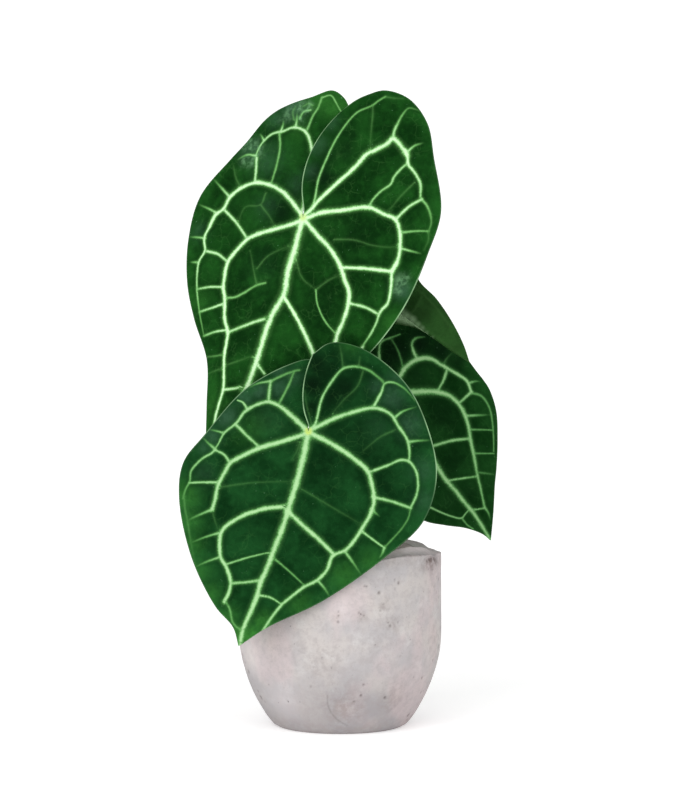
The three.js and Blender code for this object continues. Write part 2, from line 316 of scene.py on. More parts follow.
class Finish:
    """A material under construction, with one short method for each kind of node."""

    def __init__(self, name: str) -> None:
        """Starts an empty material called name."""
        self.material = bpy.data.materials.new(name)
        self.material.use_nodes = True
        self.tree = self.material.node_tree
        self.tree.nodes.clear()
        self.place = self.node("TexCoord").outputs["Object"]

    def node(self, kind: str, feeds: dict[str | int, object] | None = None,
             **options: object) -> bpy.types.Node:
        """Adds a node, sets its options and feeds its inputs.

        Args:
            kind: the shader node's type.
            feeds: an output to link or a value to set, for each input's name or number.
            options: the node's own settings.

        Returns:
            The new node.
        """
        made = self.tree.nodes.new(f"ShaderNode{kind}")
        for option, value in options.items():
            setattr(made, option, value)
        for key, value in (feeds or {}).items():
            if isinstance(value, Socket):
                self.tree.links.new(value, made.inputs[key])
            else:
                made.inputs[key].default_value = value
        return made

    def noted(self, name: str) -> Socket:
        """Reads the numbers that note() wrote under a name."""
        return self.node("Attribute", attribute_name=name).outputs["Fac"]

    def noise(self, size: float, detail: float = 3.0, rough: float = 0.55,
              stretch: Triple | None = None, output: str = "Fac") -> Socket:
        """Cloudy noise whose lumps are size millimetres across, stretched if asked."""
        place = self.place
        if stretch:
            place = self.node("Mapping", {"Vector": place, "Scale": stretch}).outputs["Vector"]
        return self.node("TexNoise", {
            "Vector": place, "Scale": 1 / (size * MM), "Detail": detail, "Roughness": rough,
        }).outputs[output]

    def warped(self, size: float, shift: float) -> Socket:
        """Places pushed about by shift millimetres in lumps of size millimetres."""
        push = self.noise(size, 2, 0.5, output="Color")
        return self.node("VectorMath", {0: push, 1: (2 * shift * MM,) * 3, 2: self.place},
                         operation="MULTIPLY_ADD").outputs[0]

    def cells(self, size: float, feature: str = "F1", place: Socket | None = None) -> Socket:
        """Cells about size millimetres across, as distances from their seeds or edges."""
        feeds = {"Vector": place or self.place, "Scale": 1 / (size * MM)}
        return self.node("TexVoronoi", feeds, feature=feature).outputs["Distance"]

    def sum(self, operation: str, a: object, b: object) -> Socket:
        """One step of arithmetic on two numbers."""
        return self.node("Math", {0: a, 1: b}, operation=operation).outputs[0]

    def plus(self, a: object, b: object) -> Socket:
        """Adds two numbers."""
        return self.sum("ADD", a, b)

    def times(self, a: object, b: object) -> Socket:
        """Multiplies two numbers."""
        return self.sum("MULTIPLY", a, b)

    def span(self, value: object, low: float, high: float,
             to_low: float = 0.0, to_high: float = 1.0) -> Socket:
        """Maps low to high smoothly on to another span, and holds it there."""
        feeds = dict(enumerate((value, low, high, to_low, to_high)))
        return self.node("MapRange", feeds, interpolation_type="SMOOTHSTEP").outputs[0]

    def mix(self, share: object, a: object, b: object) -> Socket:
        """Mixes two colours."""
        return self.node("Mix", {0: share, 6: a, 7: b}, data_type="RGBA").outputs[2]

    def lay(self, colour: object, *coats: tuple[object, object]) -> Socket:
        """Lays coats over a colour in turn, each with its share and its colour."""
        for share, coat in coats:
            colour = self.mix(share, colour, coat)
        return colour

    def bump(self, height: Socket, depth: float, before: Socket | None = None) -> Socket:
        """Relief depth millimetres deep, laid over an earlier relief if one is given."""
        feeds = {"Distance": depth * MM, "Height": height}
        if before:
            feeds["Normal"] = before
        return self.node("Bump", feeds).outputs["Normal"]

    def surface(self, colour: object, roughness: object, normal: Socket | None = None,
                **constants: object) -> Material:
        """Ends the material in one surface shader.

        Args:
            colour, roughness: values or outputs.
            normal: the relief, if any.
            constants: other inputs of the shader, with underscores for spaces.

        Returns:
            The finished material.
        """
        feeds = {name.replace("_", " "): value for name, value in constants.items()}
        feeds |= {"Base Color": colour, "Roughness": roughness}
        if normal:
            feeds["Normal"] = normal
        shader = self.node("BsdfPrincipled", feeds)
        self.node("OutputMaterial", {"Surface": shader.outputs[0]})
        return self.material


# ---- blades ----


class Side(Enum):
    """The half of a blade that a vein or a patch is on, as the front sees it."""

    RIGHT = 1
    LEFT = -1


@dataclass(frozen=True)
class Weight:
    """How a vein is drawn.

    root and end are half its pale core's breadth in millimetres there, bright and fade its
    brightness there, and rib is how far it stands out below.
    """

    root: float
    end: float
    bright: float
    fade: float
    rib: float


class Grade(Enum):
    """The weights of vein that a blade shows."""

    MIDRIB = Weight(1.85, 1.25, 1.0, 0.95, 1.3)
    MAIN = Weight(1.4, 1.15, 1.0, 0.9, 0.7)
    BRANCH = Weight(0.95, 0.85, 0.8, 0.72, 0.3)
    LINK = Weight(0.75, 0.7, 0.52, 0.46, 0.15)
    TWIG = Weight(0.85, 0.5, 0.7, 0.12, 0.15)
    THREAD = Weight(0.7, 0.6, 0.2, 0.12, 0.08)


@dataclass(frozen=True)
class Vein:
    """One vein: its grade, the half that it runs in and its route from root to end.

    The route is on the sheet or, where grown is set, in degrees from the midrib and shares
    of the reach. breadth and glow stand in for the grade's own.
    """

    grade: Grade
    side: Side
    route: Flat
    grown: bool = False
    breadth: tuple[float, float] | None = None
    glow: tuple[float, float] | None = None


class Mark(Enum):
    """The kinds of soft patch that a blade shows, some of them painted light or shade."""

    SCAR = "scar"  # scuffed pale
    SHADE = "shade"  # painted shade: darker velvet where the blade lies in shade
    BLOOM = "bloom"  # a painted greyish sheen
    FLUSH = "flush"  # younger, brighter green
    LIP = "lip"  # a painted glint, where the thin margin catches the light


# Patches on each half of a blade: where they are on the sheet, radius in mm and strength.
Patches = dict[Side, tuple[tuple[float, float, float, float], ...]]


@dataclass(frozen=True)
class BladeForm:
    """A blade's outline and set, in millimetres and degrees, as the solids have them.

    The outline runs from the cleft clockwise to the tip and onwards back to the cleft, as
    bearings and reaches about the sinus. turn and lean are the slopes of the sheet to the
    right and upwards, fold and arch lift its halves and its midrib's end, lap and bow shape
    the lobes at the cleft, and wave ripples the margin.
    """

    name: str
    sinus: Triple
    clockwise: Flat
    tip: tuple[float, float]
    onwards: Flat
    turn: float
    lean: float
    fold_right: float
    fold_left: float
    arch: float
    lap: float
    bow: float
    wave: float
    wave_phase: float
    petiole: tuple[Triple, ...]
    veins: tuple[Vein, ...]
    marks: dict[Mark, Patches]
    knee_side: int = -1
    upper_face_shows: bool = True
    vein_scale: float = 1.0


MIDRIB, MAIN, BRANCH, LINK, TWIG, THREAD = Grade
RIGHT, LEFT = Side

UPPER_VEINS = (
    Vein(MIDRIB, LEFT, (
        303, 219, 295, 249, 288, 272, 284, 295, 272, 316, 257.5, 359, 247, 388, 236, 412, 224, 440,
        210, 472)),
    Vein(MAIN, LEFT, (
        302, 215, 299, 211, 284, 193, 270, 185, 256, 182.5, 241, 188, 230, 197, 224, 208, 215, 215,
        210, 225)),
    Vein(MAIN, LEFT, (
        215, 215, 210, 225, 204, 238, 205, 250, 199, 261, 197, 274, 197, 290, 199.5, 312,
        204, 336), breadth=(0.95, 0.35), glow=(0.9, 0.25)),
    Vein(MAIN, LEFT, (
        302, 220, 299, 222, 277, 229, 259, 234, 248, 239, 238, 249, 228, 262, 225, 275, 223.6, 288,
        225, 299, 225, 320, 228, 332, 226, 347, 224.5, 357, 224.5, 377, 223.6, 390, 220, 402, 215, 422,
        212, 445, 210, 466), breadth=(1.4, 0.8)),
    Vein(MAIN, LEFT, (
        303, 213, 308, 190, 313, 168, 312, 149, 307.5, 134, 302, 129, 293, 127, 282.5, 131, 273, 133,
        264, 140, 259, 147, 256, 154), breadth=(1.5, 0.6), glow=(1, 0.6)),
    Vein(BRANCH, LEFT, (224, 209, 236, 222, 247, 238)),
    Vein(BRANCH, LEFT, (207, 251, 218, 254, 227, 261)),
    Vein(LINK, LEFT, (224, 287, 210, 287, 197, 289), glow=(0.8, 0.6)),
    Vein(LINK, LEFT, (223, 304, 212, 308, 199.5, 312), glow=(0.8, 0.55)),
    Vein(LINK, LEFT, (227, 330, 215, 332, 204, 336), glow=(0.8, 0.5)),
    Vein(BRANCH, LEFT, (277, 314.5, 268, 318, 250, 324, 228, 332.5), breadth=(1, 1)),
    Vein(LINK, LEFT, (225, 298, 236, 297, 244, 293, 257, 285.5, 266, 283)),
    Vein(THREAD, LEFT, (257, 285, 254, 268, 251, 252)),
    Vein(THREAD, LEFT, (257.5, 269, 268, 257, 288, 247)),
    Vein(THREAD, LEFT, (224.5, 355, 214, 356.5, 207, 357), glow=(0.35, 0.2)),
    Vein(THREAD, LEFT, (224.5, 368, 216, 371, 208, 374)),
    Vein(THREAD, LEFT, (225, 366, 240, 361, 254, 355.5)),
    Vein(BRANCH, LEFT, (223.5, 390, 235, 388.5, 247.5, 385), breadth=(0.8, 0.9)),
    Vein(TWIG, LEFT, (256, 155, 247, 154, 237, 159)),
    Vein(BRANCH, LEFT, (256.6, 157, 256, 170, 255, 181)),
    Vein(LINK, LEFT, (279.5, 132, 280.3, 146, 277, 163.5, 271.5, 183)),
    Vein(TWIG, LEFT, (281, 131, 283, 125, 283.6, 120)),
    Vein(TWIG, LEFT, (295.5, 127, 297, 119, 297, 112)),
    Vein(TWIG, LEFT, (264, 139.5, 262, 136, 260, 133)),
    Vein(LINK, LEFT, (307.5, 129, 313.4, 115, 318, 108, 322, 97)),
    Vein(LINK, LEFT, (322, 97, 331, 95, 336, 102, 341, 111, 347, 117), breadth=(0.5, 0.45)),
    Vein(TWIG, LEFT, (229, 196, 221, 187, 213, 178)),
    Vein(TWIG, LEFT, (217, 213, 209, 208.5, 199, 204)),
    Vein(TWIG, LEFT, (198.5, 262, 190, 262)),
    Vein(TWIG, LEFT, (205, 238, 197, 237, 189, 236.5)),
    Vein(THREAD, LEFT, (240, 186, 236, 177, 233.6, 165)),
    Vein(THREAD, LEFT, (266, 194, 261, 205, 246, 207, 239, 220)),
    Vein(THREAD, LEFT, (261, 205, 271.5, 219, 275, 227)),
    Vein(BRANCH, RIGHT, (257.5, 364, 261, 369, 265, 374)),
    Vein(LINK, RIGHT, (
        305, 214, 310.5, 210.5, 314.5, 201, 318.8, 179, 327.5, 157.5, 336, 140, 347.8, 122.7, 358, 112.5,
        372.5, 106, 378, 101.7, 385.5, 97.3), breadth=(0.65, 0.55), glow=(0.6, 0.4)),
    Vein(THREAD, RIGHT, (385.5, 97.3, 392.8, 98.8, 404, 99.5)),
    Vein(THREAD, RIGHT, (372.5, 106, 373, 114, 371.7, 128.5, 370, 150)),
    Vein(MAIN, RIGHT, (
        304, 216, 311, 210, 318.8, 201, 336, 185, 349, 173.4, 358, 164.7, 366.7, 154.6, 375, 151,
        387, 144.4, 392.8, 139.5, 401.4, 147.3, 407, 156), breadth=(1.0, 1.5)),
    Vein(MAIN, RIGHT, (
        405, 151, 407.5, 158, 408, 165, 414.5, 173.5, 420.3, 185, 421, 199.5, 426, 205.5, 429.5, 213,
        431, 224, 427.5, 234), breadth=(1.1, 0.6), glow=(0.9, 0.2)),
    Vein(TWIG, RIGHT, (
        393, 140, 394, 133, 398.6, 122.7, 403.6, 114, 408.7, 109, 416, 110.4,
        420.3, 112.5), breadth=(0.95, 0.4)),
    Vein(TWIG, RIGHT, (408, 152, 414.5, 146.6, 423, 144)),
    Vein(LINK, RIGHT, (
        407.5, 164, 400, 170.5, 394, 177.7, 390.6, 185, 381, 192, 372.5, 201,
        369, 208), glow=(0.65, 0.55)),
    Vein(THREAD, RIGHT, (414, 184, 401.5, 196.5, 389.5, 211)),
    Vein(THREAD, RIGHT, (334.8, 240, 355, 240.8, 372.5, 246, 390, 248, 399, 246.5)),
    Vein(MAIN, RIGHT, (
        304, 218, 307.5, 218, 322, 213, 341, 211, 368, 208, 384, 215, 395, 220, 399.5, 231, 400, 249,
        397, 263, 392, 272)),
    Vein(MAIN, RIGHT, (
        397, 263, 392, 272, 391, 288, 387.5, 304, 382, 310, 379, 315, 376.4, 323, 371.5, 333,
        363, 346), breadth=(1.2, 0.6), glow=(1, 0.5)),
    Vein(BRANCH, RIGHT, (363, 347, 345, 372, 318, 402, 285, 430, 255, 452, 228, 466)),
    Vein(BRANCH, RIGHT, (397, 219, 409, 207.5, 422, 200)),
    Vein(LINK, RIGHT, (401, 233.5, 415, 232, 428.5, 232), breadth=(0.7, 0.5)),
    Vein(THREAD, RIGHT, (428.3, 232, 428, 241.5, 424, 251)),
    Vein(TWIG, RIGHT, (400, 249, 411.6, 252, 421, 254.5), breadth=(0.8, 0.45)),
    Vein(MAIN, RIGHT, (
        304, 220, 306, 222, 318, 236, 331, 250, 341, 268, 345, 281, 349, 291, 348.6, 304, 343, 322,
        337, 336, 336, 341, 325, 365, 303, 390, 275, 415, 250, 435)),
    Vein(BRANCH, RIGHT, (341, 268, 365, 269, 392, 272), breadth=(1.0, 1.2), glow=(0.95, 1)),
    Vein(BRANCH, RIGHT, (351, 304, 366, 308, 379, 315)),
    Vein(MAIN, RIGHT, (284, 297, 294, 313, 303, 330, 312, 350, 318, 368, 322, 380), breadth=(1.0, 1.4)),
    Vein(THREAD, LEFT, (300, 118, 304, 111.5, 311, 109.5), glow=(0.5, 0.6)),
    Vein(THREAD, LEFT, (294, 119, 293, 111, 296, 106), glow=(0.3, 0.2)),
    Vein(THREAD, LEFT, (303, 106, 309, 103, 313, 105), glow=(0.25, 0.35)),
    Vein(BRANCH, RIGHT, (250, 386, 275, 398, 298, 392)),
    Vein(BRANCH, RIGHT, (330, 357, 348, 368)),
    Vein(THREAD, RIGHT, (297, 254, 298, 266, 303, 279, 316, 290)),
    Vein(LINK, RIGHT, (316, 290, 317.5, 304, 325, 321, 335, 333, 338, 336), breadth=(0.45, 0.5)),
    Vein(THREAD, RIGHT, (316, 290, 332, 279, 343, 275)),
)

# Scars, painted shade, painted sheen, brighter green and painted glints on the upper blade.
UPPER_MARKS = {
    Mark.SCAR: {
        LEFT: (
            (254, 160, 4, 0.9), (258, 150, 4, 0.9), (250, 144, 5, 0.9), (246, 161, 4, 0.9),
            (301, 117, 3.5, 0.8), (307, 107, 4, 1.0), (298, 108, 5, 0.9), (290, 113, 4, 0.7),
            (284, 119, 3, 0.5)),
        RIGHT: ((401, 283, 4.5, 0.9), (407, 277, 3, 0.6), (397, 292, 3.5, 0.7)),
    },
    Mark.SHADE: {
        LEFT: ((284, 214, 9, 0.7), (300, 345, 12, 0.45), (237, 207, 8, 0.35), (262, 340, 14, 0.25)),
        RIGHT: (
            (322, 178, 10, 0.7), (330, 155, 9, 0.6), (322, 300, 14, 0.3), (352, 235, 14, 0.3),
            (345, 150, 9, 0.55)),
    },
    Mark.BLOOM: {
        LEFT: (
            (294, 108, 9, 0.75), (276, 118, 7, 0.45), (252, 150, 8, 0.6), (268, 160, 12, 0.35),
            (300, 185, 9, 0.3), (199, 232, 7, 0.3), (268, 207, 9, 0.25), (266, 268, 14, 0.05)),
        RIGHT: ((318, 146, 6, 0.55), (311, 172, 5, 0.55), (330, 122, 6, 0.4), (402, 290, 6, 0.75)),
    },
    Mark.FLUSH: {
        LEFT: (
            (322, 100, 9, 0.4), (336, 108, 8, 0.5), (300, 128, 8, 0.25), (200, 300, 8, 0.2),
            (214, 410, 10, 0.25)),
        RIGHT: ((395, 325, 8, 0.3),),
    },
    Mark.LIP: {
        RIGHT: (
            (303, 200, 14, 0.8), (307, 172, 14, 0.8), (316, 144, 14, 0.8), (333, 120, 12, 0.7),
            (346, 106, 8, 0.5), (412, 285, 10, 0.6), (402, 308, 12, 0.9), (385, 335, 14, 0.9)),
    },
}

UPPER_LEAF = BladeForm(
    name="upper",
    sinus=(-24, 330, 6),
    clockwise=(
        20, 73, 24, 82.5, 28, 90, 33, 98, 42, 103, 53, 101, 66, 93, 88, 89.5, 107, 84.5, 128, 87, 146, 94,
        166, 109.5, 176, 126, 186, 144.5, 193.5, 162),
    tip=(200, 178),
    onwards=(
        203, 161, 207, 138, 214, 112, 227, 97, 241, 86.5, 260, 76, 282, 68.7, 309, 61, 323, 61.8,
        338, 68.3, 346, 72, 355, 75.3, 364, 79, 373, 85.2, 378.3, 83, 381.7, 79.2, 386, 72),
    turn=-0.15, lean=0.24, fold_right=-0.03, fold_left=0.15, arch=0.04, lap=8, bow=-32,
    wave=1.6, wave_phase=0.4, vein_scale=0.9,
    petiole=((-6, 1, 92), (-10, 9, 150), (-18, 16, 225), (-22, 17, 285)),
    veins=UPPER_VEINS,
    marks=UPPER_MARKS,
)

FRONT_VEINS = (
    Vein(MIDRIB, LEFT, (
        308.5, 433, 304, 455, 298.7, 476, 291, 502, 283, 527, 274.6, 549, 268, 566, 260.5, 584, 257, 597,
        250.5, 612, 244, 627.5, 241, 642)),
    Vein(MAIN, LEFT, (
        307, 430, 305, 428, 292, 416, 280, 406.5, 269, 402, 256, 405.5, 245.5, 412, 237, 423, 225, 433,
        219, 444, 215, 450), breadth=(1.5, 0.5), glow=(1, 0.6)),
    Vein(TWIG, LEFT, (
        216, 449, 212.5, 453, 203.6, 458, 192, 471, 190.8, 481, 186.5, 489,
        184, 498), breadth=(0.75, 0.5), glow=(0.75, 0.35)),
    Vein(BRANCH, LEFT, (216, 450, 225, 454.5, 231, 463), breadth=(0.7, 0.9)),
    Vein(MAIN, LEFT, (
        307, 433, 305, 434, 284, 441, 260, 448, 239, 458, 231, 463, 225, 473, 219, 485, 216, 499,
        213, 509)),
    Vein(TWIG, LEFT, (213, 509, 201, 514, 188, 520)),
    Vein(THREAD, LEFT, (213, 509, 216, 520, 220, 531)),
    Vein(THREAD, LEFT, (185, 495, 186, 508, 188.5, 520, 192, 542, 197, 566), glow=(0.3, 0.1)),
    Vein(BRANCH, LEFT, (237, 425, 248, 436, 260, 447)),
    Vein(BRANCH, LEFT, (217, 482, 203, 482, 190, 482.5), breadth=(0.8, 0.55)),
    Vein(THREAD, LEFT, (220, 487, 252, 482.5, 292, 481)),
    Vein(MAIN, LEFT, (
        290, 505.3, 268, 507.5, 258, 510, 246, 514, 233, 521, 226, 526.5, 221.5, 534, 220.7, 546,
        222, 557, 227.3, 566, 231.5, 580, 229.5, 592, 225, 601), breadth=(1.25, 1.0)),
    Vein(LINK, LEFT, (226, 599, 231, 608, 234, 621, 239.5, 626.5, 243, 628)),
    Vein(TWIG, LEFT, (221, 532, 207, 536, 192, 542), breadth=(0.8, 0.4)),
    Vein(TWIG, LEFT, (221, 556, 207, 561, 196.5, 566), breadth=(0.8, 0.4)),
    Vein(LINK, LEFT, (228, 563, 250, 556, 271.5, 551), breadth=(0.65, 0.5), glow=(0.7, 0.6)),
    Vein(BRANCH, LEFT, (260, 579, 246, 581, 233, 582)),
    Vein(BRANCH, LEFT, (269, 401, 270, 390, 271, 381.5), breadth=(0.95, 0.9)),
    Vein(TWIG, LEFT, (271, 381.5, 257.5, 384, 248, 389), breadth=(0.75, 0.4)),
    Vein(LINK, LEFT, (271, 381.5, 280.3, 377, 294.5, 371.5, 300, 370.5)),
    Vein(LINK, LEFT, (280.5, 402, 289, 385.5, 294.5, 372)),
    Vein(BRANCH, LEFT, (247.6, 409, 243.3, 402.5, 238, 400.5), breadth=(0.8, 0.4)),
    Vein(TWIG, LEFT, (223, 432.5, 217, 431, 210, 429.5), breadth=(0.7, 0.45)),
    Vein(TWIG, LEFT, (216, 449, 209, 443, 203, 437)),
    Vein(THREAD, LEFT, (300, 443, 297, 452, 292, 460)),
    Vein(MAIN, RIGHT, (
        310, 432, 313, 434, 329, 442, 345.5, 452, 360, 463, 368, 471, 372, 485, 374, 499, 370, 514,
        363, 526, 354, 540, 345.5, 549, 333, 554.5, 327, 569, 317, 579, 305, 585, 294.5, 593, 282, 603.5,
        272, 616, 264, 628), breadth=(1.5, 0.8), glow=(1, 0.8)),
    Vein(MAIN, RIGHT, (288, 510, 305, 526, 321, 540, 333, 552)),
    Vein(THREAD, RIGHT, (303, 489, 329, 504.5, 359, 522)),
    Vein(LINK, RIGHT, (274.5, 557, 290, 570, 305.5, 584.5), breadth=(0.65, 0.5)),
    Vein(BRANCH, RIGHT, (259, 594, 266, 594.5, 272.5, 596.6, 281.2, 602), breadth=(0.75, 0.6)),
    Vein(TWIG, RIGHT, (345, 550, 353, 561, 361, 573)),
    Vein(TWIG, RIGHT, (319, 580, 325, 587, 330, 595)),
    Vein(BRANCH, RIGHT, (362.6, 530.6, 373, 538.5, 384, 546.5), breadth=(0.75, 0.5)),
    Vein(TWIG, RIGHT, (384, 546.5, 382, 552, 379, 557)),
    Vein(TWIG, RIGHT, (371.5, 508, 375, 511.5, 379, 515), breadth=(0.9, 0.4)),
    Vein(BRANCH, RIGHT, (372.5, 496, 392, 500.8, 410, 507)),
    Vein(BRANCH, RIGHT, (
        369.5, 471.5, 386, 465.5, 401, 459.5, 408.5, 461, 415.3, 470, 417.5, 482, 416, 494,
        410, 507), breadth=(0.85, 0.7)),
    Vein(THREAD, RIGHT, (
        410, 507, 408, 517, 401, 528, 392, 538, 384, 546.5), breadth=(0.5, 0.5), glow=(0.4, 0.4)),
    Vein(THREAD, RIGHT, (393.5, 430.5, 380, 437, 363.5, 450.5)),
    Vein(THREAD, RIGHT, (363, 372, 358, 386, 344, 400, 333, 413)),
    Vein(THREAD, RIGHT, (358.5, 367, 360, 357)),
    Vein(MAIN, RIGHT, (
        310, 430, 319, 426, 333, 419, 354, 412, 374, 408, 390, 414, 398, 426, 407, 440, 409, 456.5,
        408, 461), breadth=(1.45, 0.7), glow=(0.95, 0.7)),
    Vein(BRANCH, RIGHT, (
        374.5, 405, 381.5, 392, 384.5, 384, 392, 382.5, 402.5, 387.5, 410, 395,
        414.5, 401), breadth=(0.9, 0.35), glow=(0.85, 0.2)),
    Vein(TWIG, RIGHT, (395, 417, 402.5, 411.5, 416, 407), breadth=(0.8, 0.4)),
    Vein(TWIG, RIGHT, (408, 441.5, 418, 440.5, 429.5, 440)),
    Vein(MAIN, RIGHT, (
        310, 429, 314.8, 425, 322.3, 398, 332, 381.5, 342.5, 369.5, 350, 367, 359, 367.3, 369.5, 371,
        376, 376, 381, 380, 384.5, 384), breadth=(0.75, 0.75), glow=(0.85, 0.4)),
    Vein(THREAD, RIGHT, (343, 367, 342, 357, 340, 346)),
    Vein(THREAD, RIGHT, (310, 428, 311, 422, 307, 405.5, 305, 391)),
)

# Painted shade, painted sheen, brighter green and painted glints on the front blade.
FRONT_MARKS = {
    Mark.SHADE: {
        RIGHT: (
            (313, 385, 12, 1.0), (316, 365, 11, 0.9), (330, 395, 12, 0.8), (312, 408, 8, 0.9),
            (345, 388, 12, 0.8), (325, 372, 13, 0.7), (335, 358, 10, 0.5), (365, 440, 18, 0.5),
            (342, 425, 12, 0.4), (325, 460, 14, 0.3), (390, 480, 14, 0.3), (360, 395, 10, 0.4)),
    },
    Mark.BLOOM: {
        LEFT: (
            (262, 391, 7, 0.6), (245, 398, 6, 0.6), (228, 418, 7, 0.7), (213, 436, 6, 0.55),
            (280, 388, 7, 0.55), (293, 378, 7, 0.4), (280, 372, 5, 0.5), (206, 447, 5, 0.4),
            (205, 474, 8, 0.2), (270, 420, 12, 0.12)),
        RIGHT: (
            (392, 397, 9, 0.45), (410, 425, 9, 0.45), (378, 388, 6, 0.4), (422, 470, 8, 0.35),
            (424, 500, 8, 0.3), (395, 380, 6, 0.35), (378, 428, 9, 0.15)),
    },
    Mark.FLUSH: {
        LEFT: (
            (184, 497, 10, 0.5), (188, 522, 10, 0.4), (190, 545, 9, 0.4), (197, 572, 9, 0.35),
            (210, 597, 9, 0.4), (226, 620, 8, 0.5), (238, 636, 8, 1.0), (250, 430, 12, 0.2)),
        RIGHT: (
            (248, 634, 8, 1.0), (265, 624, 8, 0.7), (300, 603, 9, 0.3), (345, 575, 11, 0.35),
            (372, 560, 9, 0.3), (350, 345, 7, 0.25)),
    },
    Mark.LIP: {
        LEFT: ((240, 398, 20, 0.45), (275, 376, 16, 0.45), (215, 428, 16, 0.4)),
        RIGHT: (
            (303, 415, 10, 0.85), (299, 390, 12, 0.85), (304, 364, 10, 0.85), (318, 347, 8, 0.5),
            (395, 370, 14, 0.45), (415, 400, 14, 0.5), (430, 432, 14, 0.8), (436, 462, 14, 0.85)),
    },
}

FRONT_LEAF = BladeForm(
    name="front",
    sinus=(-20.3, 191, -42),
    clockwise=(
        3, 50, 14, 59, 34, 64, 63.5, 70, 88, 77, 109, 87.5, 128, 94, 149, 95, 175, 109.5, 192, 129.5),
    tip=(198, 145.7),
    onwards=(
        201, 135.5, 208, 128, 223, 111, 243, 94, 256, 83.5, 268, 67.5, 303, 49.5, 342, 45, 362, 46.5,
        370, 42),
    turn=-0.1, lean=0.3, fold_right=-0.04, fold_left=0.04, arch=0.04, lap=8, bow=-24,
    wave=1.4, wave_phase=1.9, vein_scale=0.92,
    petiole=((-1, -6, 92), (-8, -13, 140), (-14, -21, 168), (-18, -27, 182)),
    veins=FRONT_VEINS,
    marks=FRONT_MARKS,
)

RIGHT_VEINS = (
    Vein(MIDRIB, RIGHT, (
        390, 403, 400, 415, 415, 436, 432.5, 460, 445.6, 479.7, 456.4, 491.8, 465, 503, 473, 512.5,
        482, 526, 490.5, 540), breadth=(2.1, 1.1), glow=(1, 0.75)),
    Vein(MAIN, RIGHT, (
        391, 400, 393, 397, 400, 393, 415, 392, 436.5, 392, 450, 396, 461, 407, 468, 423, 471, 440,
        475, 459, 478, 476, 482, 493, 485, 508), breadth=(2.0, 0.8), glow=(1, 0.6)),
    Vein(MAIN, RIGHT, (
        391, 399, 395, 385, 400, 376, 406, 367, 417, 359.5, 431, 358.5, 442, 365, 456, 373, 467, 380.5,
        472, 392), breadth=(1.7, 1.0)),
    Vein(BRANCH, RIGHT, (472, 392, 461, 402)),
    Vein(LINK, RIGHT, (
        472, 393, 482, 396, 490, 407.5, 493.5, 424, 494.5, 440, 494.5, 452), breadth=(0.85, 0.4)),
    Vein(BRANCH, RIGHT, (447, 371, 443.5, 381, 437, 392)),
    Vein(TWIG, RIGHT, (470, 383, 475, 381.5, 481, 381.5)),
    Vein(TWIG, RIGHT, (468, 416, 478, 415.5, 490, 415)),
    Vein(LINK, RIGHT, (471, 430, 482, 430, 494, 430.5), breadth=(0.7, 0.45)),
    Vein(LINK, RIGHT, (474, 454, 484, 454, 495, 454), breadth=(0.65, 0.4)),
    Vein(THREAD, RIGHT, (478, 473, 486, 474, 494, 475), glow=(0.4, 0.2)),
    Vein(TWIG, RIGHT, (485, 508, 489, 514, 491, 521)),
    Vein(BRANCH, RIGHT, (434, 446, 452, 441, 469, 439)),
    Vein(BRANCH, RIGHT, (448, 481, 477, 477), breadth=(0.7, 0.7), glow=(0.75, 0.6)),
    Vein(BRANCH, RIGHT, (471, 511, 485, 509), breadth=(0.7, 0.6), glow=(0.7, 0.6)),
    Vein(BRANCH, RIGHT, (
        389, 398, 382, 375, 379, 352, 381, 342, 391, 337.5,
        400, 334), breadth=(1.3, 0.5), glow=(0.95, 0.45)),
    Vein(THREAD, RIGHT, (402, 365, 398, 352, 391, 338), glow=(0.4, 0.3)),
    Vein(TWIG, RIGHT, (
        416.8, 358, 413, 350, 412, 343, 416, 338, 425, 336.5), breadth=(1.4, 0.45), glow=(0.9, 0.2)),
    Vein(THREAD, RIGHT, (443, 365, 447, 358, 452, 353), glow=(0.3, 0.1)),
    Vein(MAIN, LEFT, (
        389, 404, 382, 412, 372, 425, 364, 443, 368, 466, 385, 487, 405, 501, 429, 507.5, 440, 512.5,
        452, 517, 462, 519, 465.5, 515, 469, 511), breadth=(1.2, 0.5), glow=(1, 0.6)),
    Vein(LINK, LEFT, (463, 520, 468, 526, 474, 530), breadth=(0.6, 0.4)),
    Vein(MAIN, LEFT, (388, 402, 372, 402, 358, 408, 352, 422)),
    Vein(BRANCH, LEFT, (405, 423, 386, 440, 367, 452)),
    Vein(BRANCH, LEFT, (422, 447, 408, 470, 396, 494)),
    Vein(THREAD, LEFT, (372, 425, 357, 428)),
)

# Painted shade on the right blade, where the blades above shade it.
RIGHT_MARKS = {
    Mark.SHADE: {
        LEFT: ((450, 500, 10, 0.4),),
        RIGHT: (
            (395, 350, 14, 0.9), (418, 345, 12, 0.9), (440, 352, 11, 0.8), (385, 370, 14, 0.8),
            (415, 375, 10, 0.5), (455, 362, 9, 0.5), (440, 415, 14, 0.4), (455, 460, 12, 0.3),
            (470, 490, 9, 0.4)),
    },
}

RIGHT_LEAF = BladeForm(
    name="right",
    sinus=(32.5, 210, 18),
    clockwise=(
        -22, 34, -12, 46, 0, 55, 20, 60, 41, 58, 63, 58.5, 71, 60.5, 77, 63.2, 83, 66, 95, 70.2,
        110, 75.3, 122, 82.5, 128, 87.5, 137, 99.5),
    tip=(144, 112.5),
    onwards=(
        144.9, 106, 148.9, 96.5, 155.7, 88.5, 164.5, 80, 180, 60, 198, 48.5, 225, 39, 255, 34, 285, 30,
        303, 27),
    turn=0.45, lean=0.25, fold_right=0.04, fold_left=-0.05, arch=0.03, lap=3, bow=0,
    wave=1.3, wave_phase=3.1, vein_scale=0.86,
    petiole=((6, 0.5, 92), (12, 9, 135), (19, 19, 168), (25, 26, 190)),
    veins=RIGHT_VEINS,
    marks=RIGHT_MARKS,
)

